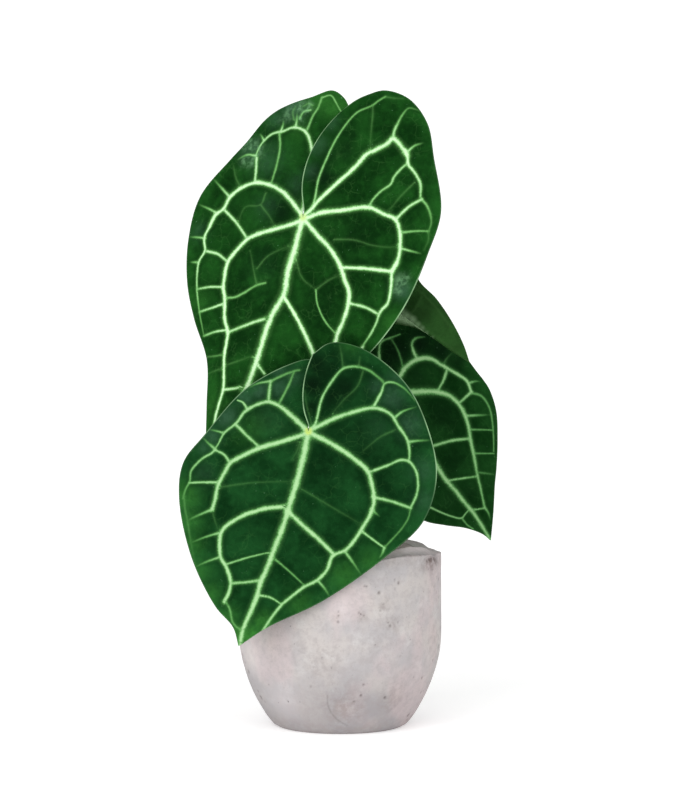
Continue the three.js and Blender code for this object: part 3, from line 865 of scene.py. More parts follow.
REAR_HALF = (
    (MAIN, (60, 0.03, 62, 0.2, 58, 0.42, 48, 0.6, 34, 0.76, 18, 0.87, 7, 0.94)),
    (MAIN, (100, 0.04, 98, 0.3, 88, 0.55, 72, 0.72, 56, 0.8, 40, 0.86)),
    (MAIN, (140, 0.05, 140, 0.35, 128, 0.6, 108, 0.74, 84, 0.78)),
    (BRANCH, (0.5, 0.3, 20, 0.46, 37, 0.66)),
    (BRANCH, (0.5, 0.56, 10, 0.7, 20, 0.84)),
    *((BRANCH, (way, 0.77, way - 3, 0.95)) for way in (30, 50, 68, 88, 110, 130, 150)),
)

REAR_LEAF = BladeForm(
    name="rear",
    sinus=(-3.2, 301, 20),
    clockwise=(
        -40, 32, -18, 42, 0, 46, 30, 50, 60, 52, 85, 53.5, 101, 55, 110, 70.5, 117, 85.5,
        122.7, 99.5),
    tip=(126.8, 109.6),
    onwards=(
        127, 96, 127.6, 79.5, 129.5, 67, 134.8, 57, 144, 48, 158, 39, 178, 30, 207, 25,
        242, 22.5, 275, 21, 295, 20),
    turn=-0.12, lean=0, fold_right=0.05, fold_left=0.16, arch=0.02, lap=2, bow=0,
    wave=0.8, wave_phase=0.9, knee_side=1, upper_face_shows=False, vein_scale=0.72,
    petiole=((0.5, 6.5, 92), (-2, 10, 150), (-4, 11, 220), (-5, 10, 275)),
    veins=(
        Vein(MIDRIB, RIGHT, (0, 0, 0, 0.5, 0, 0.97), True),
        *(Vein(grade, side, route, True) for side in Side for grade, route in REAR_HALF),
    ),
    marks={
        # painted light on the paler strip below the rear blade's midrib
        Mark.BLOOM: dict.fromkeys(Side, (
            (393.3, 310.7, 8.6, 1), (399.3, 313.6, 8.1, 1), (405.3, 317.1, 7.1, 1),
            (411.3, 320.6, 5.8, 1), (417.3, 324.6, 4.4, 1), (422.3, 328.1, 3.5, 1),
            (427.3, 331.7, 2.8, 1), (433.3, 336.1, 2.3, 1), (439.3, 340.8, 1.8, 1))),
    },
)


class BladeSurface:
    """The curved sheet of a blade, found from its form as the solids find it."""

    STEPS = 400  # rays on each side of the midrib
    HALF_SWEEP = 168.0  # degrees round from the midrib to the cleft
    NOTCH = 18.0  # half the cleft's opening at the sinus, in degrees
    CLEFT_LOBE = 75.0  # degrees from the cleft over which a lobe laps and bows
    LAP_START = 9.0  # millimetres from the sinus
    RIPPLES = 3.3
    TURN_BACK = 92.0  # degrees from the tip to the middle of a half, for telling turns apart
    HALVINGS = 40

    def __init__(self, form: BladeForm) -> None:
        """Works out the rays of the margin."""
        self.form = form
        clockwise = spline(polar(paired(form.clockwise + form.tip)), self.STEPS + 1)
        onwards = spline(polar(paired(form.tip + form.onwards)), self.STEPS + 1)
        margin = np.vstack([clockwise, onwards[1:]])
        raw = np.degrees(np.unwrap(np.arctan2(margin[:, 0], margin[:, 1])))
        self.bearing = raw + 360 * np.round((form.clockwise[0] - raw[0]) / 360)
        self.first, self.last = self.bearing[0], self.bearing[-1]
        self.reach = np.linalg.norm(margin, axis=1)
        self.index = np.arange(len(margin), dtype=float)
        ends = self.spots(self.round_of(self.index), np.ones(len(margin)))
        self.spread = np.linalg.norm(ends - self.start(), axis=1)

    def start(self) -> Array:
        """The sinus, in a row of its own."""
        return self.spots(np.zeros(1), np.zeros(1))

    def round_of(self, index: Array) -> Array:
        """Degrees round from the midrib, positive clockwise, for a place along the margin."""
        share = np.abs(index - self.STEPS) / self.STEPS
        return np.sign(self.STEPS - index) * self.HALF_SWEEP * share**1.5

    def index_of(self, around: Array) -> Array:
        """The place along the margin for degrees round from the midrib."""
        share = np.clip(np.abs(around) / self.HALF_SWEEP, 0, 1) ** (2 / 3)
        return self.STEPS - np.sign(around) * share * self.STEPS

    def spread_at(self, around: Array) -> Array:
        """How far the margin lies from the sinus, for degrees round from the midrib."""
        return np.interp(self.index_of(around), self.index, self.spread)

    def by_cleft(self, gap: Array) -> Array:
        """1 at the cleft, falling to 0 where the lobe beside it ends."""
        return np.clip(1 - gap / self.CLEFT_LOBE, 0, 1) ** 2

    def bearing_of(self, bearing: Array, share: Array) -> Array:
        """Bends a margin bearing into the one at a share of the reach."""
        whole = self.last - self.first
        opened = self.NOTCH + (360 - 2 * self.NOTCH) * (bearing - self.first) / whole
        near = (1 - share) ** 10
        bowed = self.form.bow * self.by_cleft(bearing - self.first) * (1 - share) * (1 - near)
        return bearing + (opened - bearing) * near + bowed

    def spots(self, around: Array, share: Array) -> Array:
        """Places in space on the sheet of the blade.

        Args:
            around: degrees round from the midrib.
            share: 0 at the sinus and 1 at the margin.

        Returns:
            The places in millimetres, one a row.
        """
        form = self.form
        index = self.index_of(around)
        margin = np.interp(index, self.index, self.bearing)
        reach = np.interp(index, self.index, self.reach) * share
        flat = polar(np.stack([self.bearing_of(margin, share), reach], axis=1))
        turned = np.radians(around)
        fold = np.where(around > 0, form.fold_right, form.fold_left)
        parted = 1 - bell(reach, self.LAP_START)
        lobes = self.by_cleft(self.last - margin) - self.by_cleft(margin - self.first)
        length = form.tip[1]
        back = (
            form.sinus[2] + form.turn * flat[:, 0] + form.lean * flat[:, 1]
            + fold * length * share * np.abs(np.sin(turned))
            + form.arch * length * share**2 * np.cos(turned) ** 2
            + form.wave * share**3 * np.sin(self.RIPPLES * turned + form.wave_phase)
            + form.lap / 2 * parted * lobes
        )
        up = form.sinus[1] + flat[:, 1]
        return np.stack(
            [form.sinus[0] + flat[:, 0], back, (up - back * math.sin(LEAN)) / math.cos(LEAN)],
            axis=1,
        )

    def find(self, sheet: Array, side: Side) -> Array:
        """Turns places on the drawing sheet into degrees round and shares of the reach.

        Args:
            sheet: places on the drawing sheet, one a row.
            side: the half of the blade that they are on.

        Returns:
            Degrees round and shares, one pair a row.
        """
        across, up = off_sheet(*sheet.T)
        across, up = across - self.form.sinus[0], up - self.form.sinus[1]
        seen = np.degrees(np.arctan2(across, up))
        centre = self.form.tip[0] - side.value * self.TURN_BACK
        seen = centre + (seen - centre + 180) % 360 - 180
        far = np.hypot(across, up)
        low = np.full(len(seen), self.first)
        high = np.full(len(seen), self.last)
        for _ in range(self.HALVINGS):
            middle = (low + high) / 2
            index = np.interp(middle, self.bearing, self.index)
            share = np.clip(far / np.interp(index, self.index, self.reach), 0, 1)
            over = self.bearing_of(middle, share) > seen
            high = np.where(over, middle, high)
            low = np.where(over, low, middle)
        return np.stack([self.round_of(index), share], axis=1)

    def domain(self, around: Array, share: Array) -> Array:
        """Lays places out flat: the tip points down and the cleft stays open above."""
        far = self.spread_at(around) * share
        angle = np.radians(around)
        return np.stack([np.sin(angle), -np.cos(angle)], axis=1) * far[:, None]

    def from_domain(self, flat: Array) -> tuple[Array, Array]:
        """Degrees round and shares of places that domain() laid out."""
        around = np.degrees(np.arctan2(flat[:, 0], -flat[:, 1]))
        return around, np.clip(np.linalg.norm(flat, axis=1) / self.spread_at(around), 0, 1)


@dataclass(frozen=True)
class VeinRun:
    """A vein laid on its blade: its places in space and flat, half its core's breadth and
    how bright it is at each of them."""

    spots: Array
    flat: Array
    widths: Array
    glows: Array
    vein: Vein


class Blade:
    """A heart-shaped blade with its veins, quilting, undersurface ribs and thin margin.

    Lengths are in millimetres.
    """

    THICKNESS = 0.9
    EDGE_THICKNESS = 0.4
    EDGE_ROUND = 1.6  # over which the margin thins
    FLAT_EDGE = 6.0  # over which the quilting dies away at the margin
    GRID = 1.8  # spacing of plain places
    MARGIN_STEP = 1.1
    INSETS = (0.35, 0.8, 1.5)  # of the rows inside the margin
    CLEFT_STEPS = 60
    ALONG = 0.9  # spacing along veins
    CROWDED = 0.3  # places nearer than this become one
    MARGIN_ROOM = 0.2  # kept free of places inside the margin
    SLIVER = 1e-7  # a triangle smaller than this is left out
    QUILT = 0.55  # how far the cells between veins stand up
    SWELLS = ((0.3, 14, 3), (0.12, 5, 4))  # height, breadth and seed of the soft waves
    WEB = 0.42  # how far the corners where veins meet are filled
    BLEND = 0.2  # how sharply the nearest vein's brightness wins
    VEIN_CALL = 7  # how far a vein is felt, in its grade's root
    VALLEY = 4.5  # how far from a vein the sheet stays low
    VEIN_OFFSETS = {  # rows beside a vein, in half breadths of its core
        MIDRIB: (0, 0.5, 1, 1.7, 2.6), MAIN: (0, 0.5, 1, 1.7, 2.6), BRANCH: (0, 0.8, 1.7),
        LINK: (0, 0.8, 1.8), TWIG: (0, 0.8, 1.8), THREAD: (0, 1.3),
    }
    CHUNK = 4000  # places that are measured at once
    FAR = 30.0  # distances from the margin stop here
    ROOT_RING = (45, 0.035)  # places round the sinus and their share of the reach

    def __init__(self, form: BladeForm) -> None:
        """Lays the veins out on the blade's sheet."""
        self.form = form
        self.surface = BladeSurface(form)
        self.runs = [self.lay(vein) for vein in form.veins]

    def lay(self, vein: Vein) -> VeinRun:
        """Lays one vein on the sheet."""
        route = paired(vein.route)
        if vein.grown:
            flat = spline(self.surface.domain(route[:, 0] * vein.side.value, route[:, 1]), 60)
        else:
            drawn = spline(route, 60) if len(route) > 2 else evenly(route, 20)
            flat = self.surface.domain(*self.surface.find(drawn, vein.side).T)
        flat = evenly(flat, max(4, int(length_of(flat) / self.ALONG) + 1))
        spots = self.surface.spots(*self.surface.from_domain(flat))
        weight = vein.grade.value
        root, end = vein.breadth or (weight.root, weight.end)
        bright, fade = vein.glow or (weight.bright, weight.fade)
        share = np.linspace(0, 1, len(flat))
        widths = (root + (end - root) * share) * self.form.vein_scale
        return VeinRun(spots, flat, widths, bright + (fade - bright) * share**1.5, vein)

    def margin(self) -> Array:
        """The outer margin laid out flat, in even steps."""
        around = self.surface.round_of(self.surface.index)
        fine = self.surface.domain(around, np.ones(len(around)))
        return evenly(fine, int(length_of(fine) / self.MARGIN_STEP))

    def outline(self) -> Array:
        """The flat loop of the margin and the cleft's two edges, from the sinus round."""
        steps = np.linspace(0, 1, 64)[1:-1]
        edge = np.full(len(steps), BladeSurface.HALF_SWEEP)
        right = self.surface.domain(edge, steps)
        left = self.surface.domain(-edge, steps[::-1])
        return np.vstack([[[0.0, 0.0]], right, self.margin(), left])

    def inner_rows(self) -> Array:
        """Rows of places just inside the margin and the cleft, for its rounded edge."""
        rows = []
        margin = self.margin()
        around, _ = self.surface.from_domain(margin)
        spread = np.linalg.norm(margin, axis=1)
        steps = np.linspace(0.06, 0.98, self.CLEFT_STEPS)
        for inset in self.INSETS:
            rows.append(self.surface.domain(around, 1 - inset / spread))
            for sign in (1, -1):
                cleft = np.full(self.CLEFT_STEPS, sign * BladeSurface.HALF_SWEEP)
                far = np.linalg.norm(self.surface.domain(cleft, steps), axis=1)
                angle = BladeSurface.HALF_SWEEP - np.degrees(inset / far)
                rows.append(self.surface.domain(sign * angle, steps))
        return np.vstack(rows)

    def vein_rows(self) -> Array:
        """Rows of places along each vein and beside it, out to its soft edges."""
        rows = []
        for run in sorted(self.runs, key=lambda run: -run.widths[0]):
            ahead = np.gradient(run.flat, axis=0)
            ahead /= np.maximum(np.linalg.norm(ahead, axis=1, keepdims=True), 1e-9)
            across = np.stack([-ahead[:, 1], ahead[:, 0]], axis=1)
            for offset in self.VEIN_OFFSETS[run.vein.grade]:
                for sign in ((1, -1) if offset else (1,)):
                    rows.append(run.flat + across * run.widths[:, None] * offset * sign)
        return np.vstack(rows)

    def scatter(self, loop: Array) -> Array:
        """Every flat place inside the outline, thinned where rows crowd together."""
        low, high = loop.min(axis=0), loop.max(axis=0)
        xs = np.arange(low[0], high[0], self.GRID)
        ys = np.arange(low[1], high[1], self.GRID * 0.866)
        grid = np.stack(np.meshgrid(xs, ys), axis=-1)
        grid[1::2, :, 0] += self.GRID / 2
        places = np.vstack([self.inner_rows(), self.vein_rows()])
        cell = np.round(places / self.CROWDED).astype(np.int64)
        _, kept = np.unique(cell, axis=0, return_index=True)
        places = places[np.sort(kept)]
        taken = set(map(tuple, np.round(places / self.MARGIN_STEP).astype(int)))
        plain = [
            spot for spot in grid.reshape(-1, 2)
            if tuple(np.round(spot / self.MARGIN_STEP).astype(int)) not in taken
        ]
        places = np.vstack([places, plain])
        around, _ = self.surface.from_domain(places)
        far = np.linalg.norm(places, axis=1)
        cleft_room = np.radians(BladeSurface.HALF_SWEEP - np.abs(around)) * far
        room = np.minimum(self.surface.spread_at(around) - far, cleft_room)
        return places[room > self.MARGIN_ROOM]

    def sheet(self) -> tuple[Array, Array, Array]:
        """Joins the places into triangles that face the front.

        Returns:
            The flat places, the triangles and the directed edges of the outline.
        """
        loop = self.outline()
        places = [Vector(p) for p in np.vstack([loop, self.scatter(loop)])]
        made = delaunay_2d_cdt(places, [], [list(range(len(loop)))], 1, 1e-6)
        flat = np.array([tuple(p) for p in made[0]])
        triangles = np.array(made[2])
        a, b, c = (flat[triangles[:, k]] for k in range(3))
        area = np.cross(b - a, c - a)
        full = np.abs(area) > self.SLIVER
        triangles, area = triangles[full], area[full]
        triangles[area < 0] = triangles[area < 0][:, ::-1]
        return flat, triangles, self.border(triangles)

    @staticmethod
    def border(triangles: Array) -> Array:
        """The directed edges that belong to one triangle only."""
        edges = np.vstack([triangles[:, [0, 1]], triangles[:, [1, 2]], triangles[:, [2, 0]]])
        size = int(triangles.max()) + 1
        forward = edges[:, 0] * size + edges[:, 1]
        backward = edges[:, 1] * size + edges[:, 0]
        return edges[~np.isin(forward, backward)]

    def closeness(self, spots: Array, sides: Array) -> tuple[Array, Array, Array, Array]:
        """How near each place is to the veins.

        Args:
            spots: places in space.
            sides: 1 on the right half and -1 on the left.

        Returns:
            The distance from the veins in their own half breadths, rounded out where veins
            meet, their brightness, the ribs' height, and the nearness of a strong vein.
        """
        total = np.full(len(spots), math.exp(-8 / self.WEB))
        shares = np.full(len(spots), 1e-60)
        glow, rib, near = (np.zeros(len(spots)) for _ in range(3))
        for run in self.runs:
            weight = run.vein.grade.value
            reach = self.VEIN_CALL * weight.root
            low, high = run.spots.min(axis=0) - reach, run.spots.max(axis=0) + reach
            inside = np.all((spots > low) & (spots < high), axis=1)
            if run.vein.grade is not MIDRIB:
                inside &= (sides == run.vein.side.value) | (np.abs(sides) < 0.5)
            for part in chunks(np.flatnonzero(inside), self.CHUNK):
                gap = np.linalg.norm(spots[part][:, None] - run.spots[None], axis=2)
                best = gap.argmin(axis=1)
                gap = gap[np.arange(len(part)), best]
                gap = np.sqrt(np.maximum(gap**2 - (self.ALONG * 0.3) ** 2, 0))
                width, bright = run.widths[best], run.glows[best]
                total[part] += np.exp(-gap / width / self.WEB)
                pull = np.exp(-gap / width / self.BLEND) * bright**2
                shares[part] += pull
                glow[part] += pull * bright
                rib[part] = np.maximum(rib[part], weight.rib * bell(gap, 1.2 * width))
                if run.vein.grade is not THREAD:
                    near[part] = np.maximum(near[part], bell(gap, self.VALLEY))
        return -self.WEB * np.log(total), glow / shares, rib, near

    def build(self, upper: Material, under: Material) -> Piece:
        """Builds the blade as one closed piece with its two faces.

        Args:
            upper: the finish of the velvet upper face.
            under: the finish of the plain undersurface.

        Returns:
            The new piece.
        """
        flat, triangles, border = self.sheet()
        around, share = self.surface.from_domain(flat)
        middle = self.surface.spots(around, share)
        sides = np.where(np.abs(around) < 1e-6, 0, np.sign(around))
        edge = self.edge_distance(middle, border, sides)
        vein, pale, rib, near = self.closeness(middle, sides)
        shows = self.form.upper_face_shows
        lift = self.QUILT * (1 - near)
        for height, breadth, seed in self.SWELLS:
            lift += height * grain(middle, breadth, seed)
        lift *= (1 - bell(edge, self.FLAT_EDGE)) * (1 if shows else -1)
        middle = middle + sheet_normals(middle, triangles) * lift[:, None]
        thin = smoothstep(0, self.EDGE_ROUND, edge)
        half = (self.EDGE_THICKNESS + (self.THICKNESS - self.EDGE_THICKNESS) * thin) / 2
        ribbed = half + rib * smoothstep(0, 2.5, edge) * self.form.vein_scale
        front, back = (half, ribbed) if shows else (ribbed, half)
        normals = sheet_normals(middle, triangles)
        places = np.vstack([middle + normals * front[:, None], middle - normals * back[:, None]])
        count = len(middle)
        rim = np.vstack([
            np.stack([border[:, 0], border[:, 1] + count, border[:, 1]], axis=1),
            np.stack([border[:, 0], border[:, 0] + count, border[:, 1] + count], axis=1),
        ])
        faces = np.vstack([triangles, triangles[:, ::-1] + count, rim])
        piece = make_piece(f"leaf_{self.form.name}", places, faces,
                           (upper, under) if shows else (under, upper))
        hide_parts(f"blade_{self.form.name}")
        behind = np.zeros(len(faces), dtype=np.int32)
        behind[len(triangles):2 * len(triangles)] = 1
        piece.data.polygons.foreach_set("material_index", behind)
        sinus = np.linalg.norm(middle - self.surface.start(), axis=1)
        notes = {"vein": vein, "pale": pale, "edge": edge, "sinus": sinus}
        for mark in Mark:
            notes[mark.value] = self.cover(middle, sides, self.form.marks.get(mark, {}))
        for name, values in notes.items():
            note(piece, name, np.tile(values, 2))
        return piece

    def cover(self, spots: Array, sides: Array, marks: Patches) -> Array:
        """How strongly soft patches drawn on the sheet cover each place."""
        total = np.zeros(len(spots))
        for side, patches in marks.items():
            mine = sides * side.value >= 0
            for x, y, radius, strength in patches:
                found = self.surface.find(paired((x, y)), side)
                far = np.linalg.norm(spots - self.surface.spots(*found.T), axis=1)
                here = np.maximum(total, strength * bell(far, radius))
                total = np.where(mine, here, total)
        return total

    def edge_distance(self, spots: Array, border: Array, sides: Array) -> Array:
        """How far each place lies from the margin of its own half, up to a limit."""
        gap = np.full(len(spots), self.FAR)
        rim = np.unique(border)
        for side in Side:
            near = spots[rim[sides[rim] * side.value >= 0]]
            for part in chunks(np.flatnonzero(sides * side.value >= 0), self.CHUNK):
                far = np.linalg.norm(spots[part][:, None] - near[None], axis=2).min(axis=1)
                gap[part] = np.minimum(gap[part], far)
        return gap

    def root(self) -> tuple[Array, Array]:
        """The sinus and the sheet's normal there, towards the front."""
        count, share = self.ROOT_RING
        index = np.linspace(0, 2 * BladeSurface.STEPS, count)
        ring = self.surface.spots(self.surface.round_of(index), np.full(count, share))
        start = self.surface.start()[0]
        normal = np.cross(ring[1:] - start, ring[:-1] - start).sum(axis=0)
        normal *= -np.sign(normal[1])
        return start, normal / np.linalg.norm(normal)


def chunks(numbers: Array, size: int) -> list[Array]:
    """Splits numbers into even parts of about size."""
    return np.array_split(numbers, max(1, len(numbers) // size))


def sheet_normals(spots: Array, triangles: Array) -> Array:
    """Unit normals of a sheet at its corners, weighted by area."""
    a, b, c = (spots[triangles[:, k]] for k in range(3))
    face = np.cross(b - a, c - a)
    normals = np.zeros_like(spots)
    for corner in range(3):
        np.add.at(normals, triangles[:, corner], face)
    return normals / np.maximum(np.linalg.norm(normals, axis=1, keepdims=True), 1e-12)


# ---- finishes ----


@dataclass(frozen=True)
class Velvet:
    """The velvet upper face of a blade, with soft, pale, feathered veins, and painted shade, sheen and
    glints in patches.
    """

    deep: Colour
    open: Colour
    glow: Colour
    core: Colour
    sap: Colour
    # the painted sheen
    bloom: Colour = tone(56, 92, 68)
    flush: Colour = tone(60, 130, 50)
    # painted shade
    shade: Colour = tone(2, 23, 6)
    scar: Colour = tone(122, 176, 124)
    dust: Colour = tone(110, 160, 118)
    # the painted glint on the margin
    lip: Colour = tone(158, 200, 150)

    def green(self, f: Finish) -> Socket:
        """The velvet between the veins: clouded, lighter towards the margin as a painted sheen, with
        patches of painted sheen, brighter green and painted shade.
        """
        # lighter towards the margin, a painted sheen, and in random clouds
        light = f.plus(f.span(f.noted("edge"), 1, 11, 0.3, 0), f.span(f.noise(22), 0.36, 0.68, 0, 0.6))
        light = f.plus(light, f.span(f.noise(4, 4, 0.6), 0.4, 0.7, 0, 0.25))
        uneven = f.span(f.noise(3.5, 4, 0.65), 0.3, 0.65, 0.6, 1)
        return f.lay(
            f.mix(light, self.deep, self.open),
            (f.times(f.noted(Mark.BLOOM.value), uneven), self.bloom),
            (f.times(f.noted(Mark.FLUSH.value), uneven), self.flush),
            (f.noted(Mark.SHADE.value), self.shade),
        )

    def material(self, name: str) -> Material:
        """Makes the material."""
        f = Finish(name)
        fibre = f.noise(0.8, 3, 0.6)
        feather = f.times(f.sum("SUBTRACT", f.noise(1.1, 4, 0.75), 0.5), 1.7)
        knots = f.sum("SUBTRACT", f.noise(5, 2), 0.5)
        vein = f.plus(f.plus(f.noted("vein"), feather), knots)
        pale = f.noted("pale")
        core = f.times(f.span(vein, -0.15, 2.35, 1, 0), pale)
        halo = f.times(f.span(vein, 0.7, 3.6, 0.22, 0), pale)
        # a band of painted shade just beyond each vein's halo, where the quilted sheet dips to the vein
        painted_vein_shade = f.times(f.span(f.noted("vein"), 2.4, 6.5, 0.4, 0), pale)
        net = f.cells(7, "DISTANCE_TO_EDGE", f.warped(5, 2.5))
        threads = f.times(f.span(net, 0.0, 0.06, 1, 0), f.span(f.noise(14), 0.46, 0.62, 0, 0.06))
        streaks = f.span(f.noise(4.6, 5, 0.62), 0.43, 0.66, 0.08, 0.72)
        specks = f.span(f.cells(5, place=f.warped(2, 2)), 0.03, 0.06, 0.5, 0)
        # a painted glint along the thin margin, stronger in its patches
        lip = f.times(f.span(f.noted("edge"), 0.25, 1.0, 0.85, 0),
                      f.plus(f.noted(Mark.LIP.value), 0.12))
        colour = f.lay(
            f.mix(threads, self.green(f), self.glow),
            (painted_vein_shade, self.deep),
            (halo, self.glow),
            (f.span(core, 0.02, 0.62), self.glow),
            (f.span(core, 0.38, 1.0), self.core),
            (f.times(f.span(f.noted("sinus"), 0.8, 3.8, 0.75, 0), core), self.sap),
            (f.times(f.noted(Mark.SCAR.value), streaks), self.scar),
            (specks, self.dust),
            (lip, self.lip),
        )
        normal = f.bump(core, 0.25, f.bump(f.plus(f.times(fibre, 0.7), f.cells(1.2)), 0.09))
        return f.surface(colour, f.span(fibre, 0.3, 0.7, 0.62, 0.75), normal,
                         Sheen_Weight=0.015, Sheen_Roughness=0.4, Specular_IOR_Level=0.03,
                         Sheen_Tint=tone(170, 230, 170))


@dataclass(frozen=True)
class LeafBack:
    """The smooth, plain undersurface of a blade, with its ribs a little paler and painted light on a
    strip where the painted sheen mark lies.
    """

    dark: Colour
    light: Colour
    rib: Colour
    ribbing: float
    gloss: float
    # the painted light on the strip that the painted sheen mark covers
    turned: Colour = tone(156, 188, 146)
    edge: Colour = tone(110, 136, 92)

    def material(self, name: str) -> Material:
        """Makes the material."""
        f = Finish(name)
        net = f.cells(5, "DISTANCE_TO_EDGE", f.warped(4, 2))
        colour = f.lay(
            f.mix(f.span(f.noise(22), 0.35, 0.68), self.dark, self.light),
            (f.span(f.noise(1.6, 4, 0.65), 0.35, 0.7, 0, 0.3), self.dark),
            (f.span(f.noted("vein"), 0.4, 2.2, 0.6 * self.ribbing, 0), self.rib),
            (f.span(net, 0.0, 0.06, 0.22 * self.ribbing, 0), self.rib),
            # painted light on the strip that the painted sheen mark covers
            (f.span(f.noted(Mark.BLOOM.value), 0.25, 0.85, 0, 0.86), self.turned),
            (f.span(f.noted("edge"), 0.15, 0.8, 0.3, 0), self.edge),
        )
        normal = f.bump(f.noise(0.8, 3, 0.6), 0.08)
        return f.surface(colour, 0.55, normal, Specular_IOR_Level=self.gloss)


@dataclass(frozen=True)
class CastConcrete:
    """Cast concrete: clouds of warm and cool grey, fine pores and a weathered rim, with painted shade low
    down, in the pores and under the chipped rim, and painted light inside the rim.
    """

    warm: Colour = tone(194, 188, 185)
    cool: Colour = tone(180, 176, 177)
    pale: Colour = tone(206, 204, 203)
    # painted shade, darker towards the foot
    shaded: Colour = tone(132, 129, 133)
    rosy: Colour = tone(206, 186, 186)
    speck: Colour = tone(140, 134, 132)
    cloud: Colour = tone(168, 161, 161)
    # painted light inside the rim, and the paler patches on the front
    paler_and_painted_light: Colour = tone(252, 241, 241)
    # stains, and painted shade near the foot and under the chipped rim
    stain_and_shade: Colour = tone(120, 106, 102)
    # painted shade in the pores and pinholes
    pore_shade: Colour = tone(92, 84, 82)

    def material(self, name: str) -> Material:
        """Makes the material."""
        f = Finish(name)
        cloud = f.noise(4.5, 5, 0.7)
        pinholes = f.span(f.cells(5.5, place=f.warped(3, 1)), 0.04, 0.075, 1, 0)
        hole = f.times(pinholes, f.span(f.noise(9), 0.52, 0.6))
        # stains, with painted shade near the foot and under the chipped rim
        dirt_and_shade = f.times(f.noted("stain_and_shade"), f.span(cloud, 0.32, 0.62, 0.25, 1))
        colour = f.lay(
            f.mix(f.span(f.noise(26, 4, 0.6), 0.36, 0.64), self.warm, self.cool),
            (f.span(f.noise(15, 4, 0.6), 0.5, 0.72, 0, 0.5), self.pale),
            # painted shade, darker towards the foot
            (f.span(f.noted("rise"), 0.02, 0.55, 0.54, 0), self.shaded),
            (f.span(f.noise(34, 3, 0.5, (1, 1, 0.6)), 0.5, 0.66, 0, 0.4), self.rosy),
            (f.span(f.noise(1.6, 3, 0.7), 0.55, 0.75, 0, 0.35), self.speck),
            (f.span(cloud, 0.44, 0.66, 0, 0.42), self.cloud),
            # painted light inside the rim, and the paler patches on the front
            (f.times(f.noted("paler_and_painted_light"), 0.9), self.paler_and_painted_light),
            (dirt_and_shade, self.stain_and_shade),
            # painted shade in the pores and pinholes
            (f.times(f.sum("MAXIMUM", f.noted("pore_shade"), hole), 0.75), self.pore_shade),
        )
        fine = f.plus(f.noise(0.9, 4, 0.7), f.times(cloud, 0.8))
        return f.surface(colour, f.span(cloud, 0.3, 0.7, 0.82, 0.95),
                         f.bump(hole, -0.5, f.bump(fine, 0.16)), Specular_IOR_Level=0.25)


@dataclass(frozen=True)
class Crumb:
    """A grainy finish for loose bits, each bit a little lighter or darker than the next."""

    dark: Colour
    light: Colour
    grain_size: float
    depth: float

    def material(self, name: str) -> Material:
        """Makes the material."""
        f = Finish(name)
        streak = f.noise(self.grain_size, 4, 0.65, (1, 1, 2.6))
        share = f.plus(f.times(f.noted("lot"), 0.6), f.span(streak, 0.35, 0.7, 0, 0.5))
        return f.surface(f.mix(share, self.dark, self.light), 0.88, f.bump(streak, self.depth),
                         Specular_IOR_Level=0.2)


@dataclass(frozen=True)
class Stalk:
    """A living stalk or root whose colour runs from its foot to its end."""

    foot: Colour
    middle: Colour
    end: Colour
    roughness: float

    def material(self, name: str) -> Material:
        """Makes the material."""
        f = Finish(name)
        along = f.noted("along")
        colour = f.lay(
            f.mix(f.span(along, 0.0, 0.3), self.foot, self.middle),
            (f.span(along, 0.82, 0.98), self.end),
            (f.span(f.noise(1.4, 3, 0.6, (1, 1, 0.35)), 0.52, 0.7, 0, 0.45), self.foot),
        )
        streak = f.noise(0.7, 3, 0.6, (1, 1, 0.12))
        return f.surface(colour, self.roughness, f.bump(streak, 0.12), Specular_IOR_Level=0.35)


# ---- pot and mix ----


def swell(around: Array, size: float, way: float, breadth: float) -> Array:
    """A soft bump of a size about a bearing, all of them in degrees except the size."""
    return size * bell(around - way, breadth)


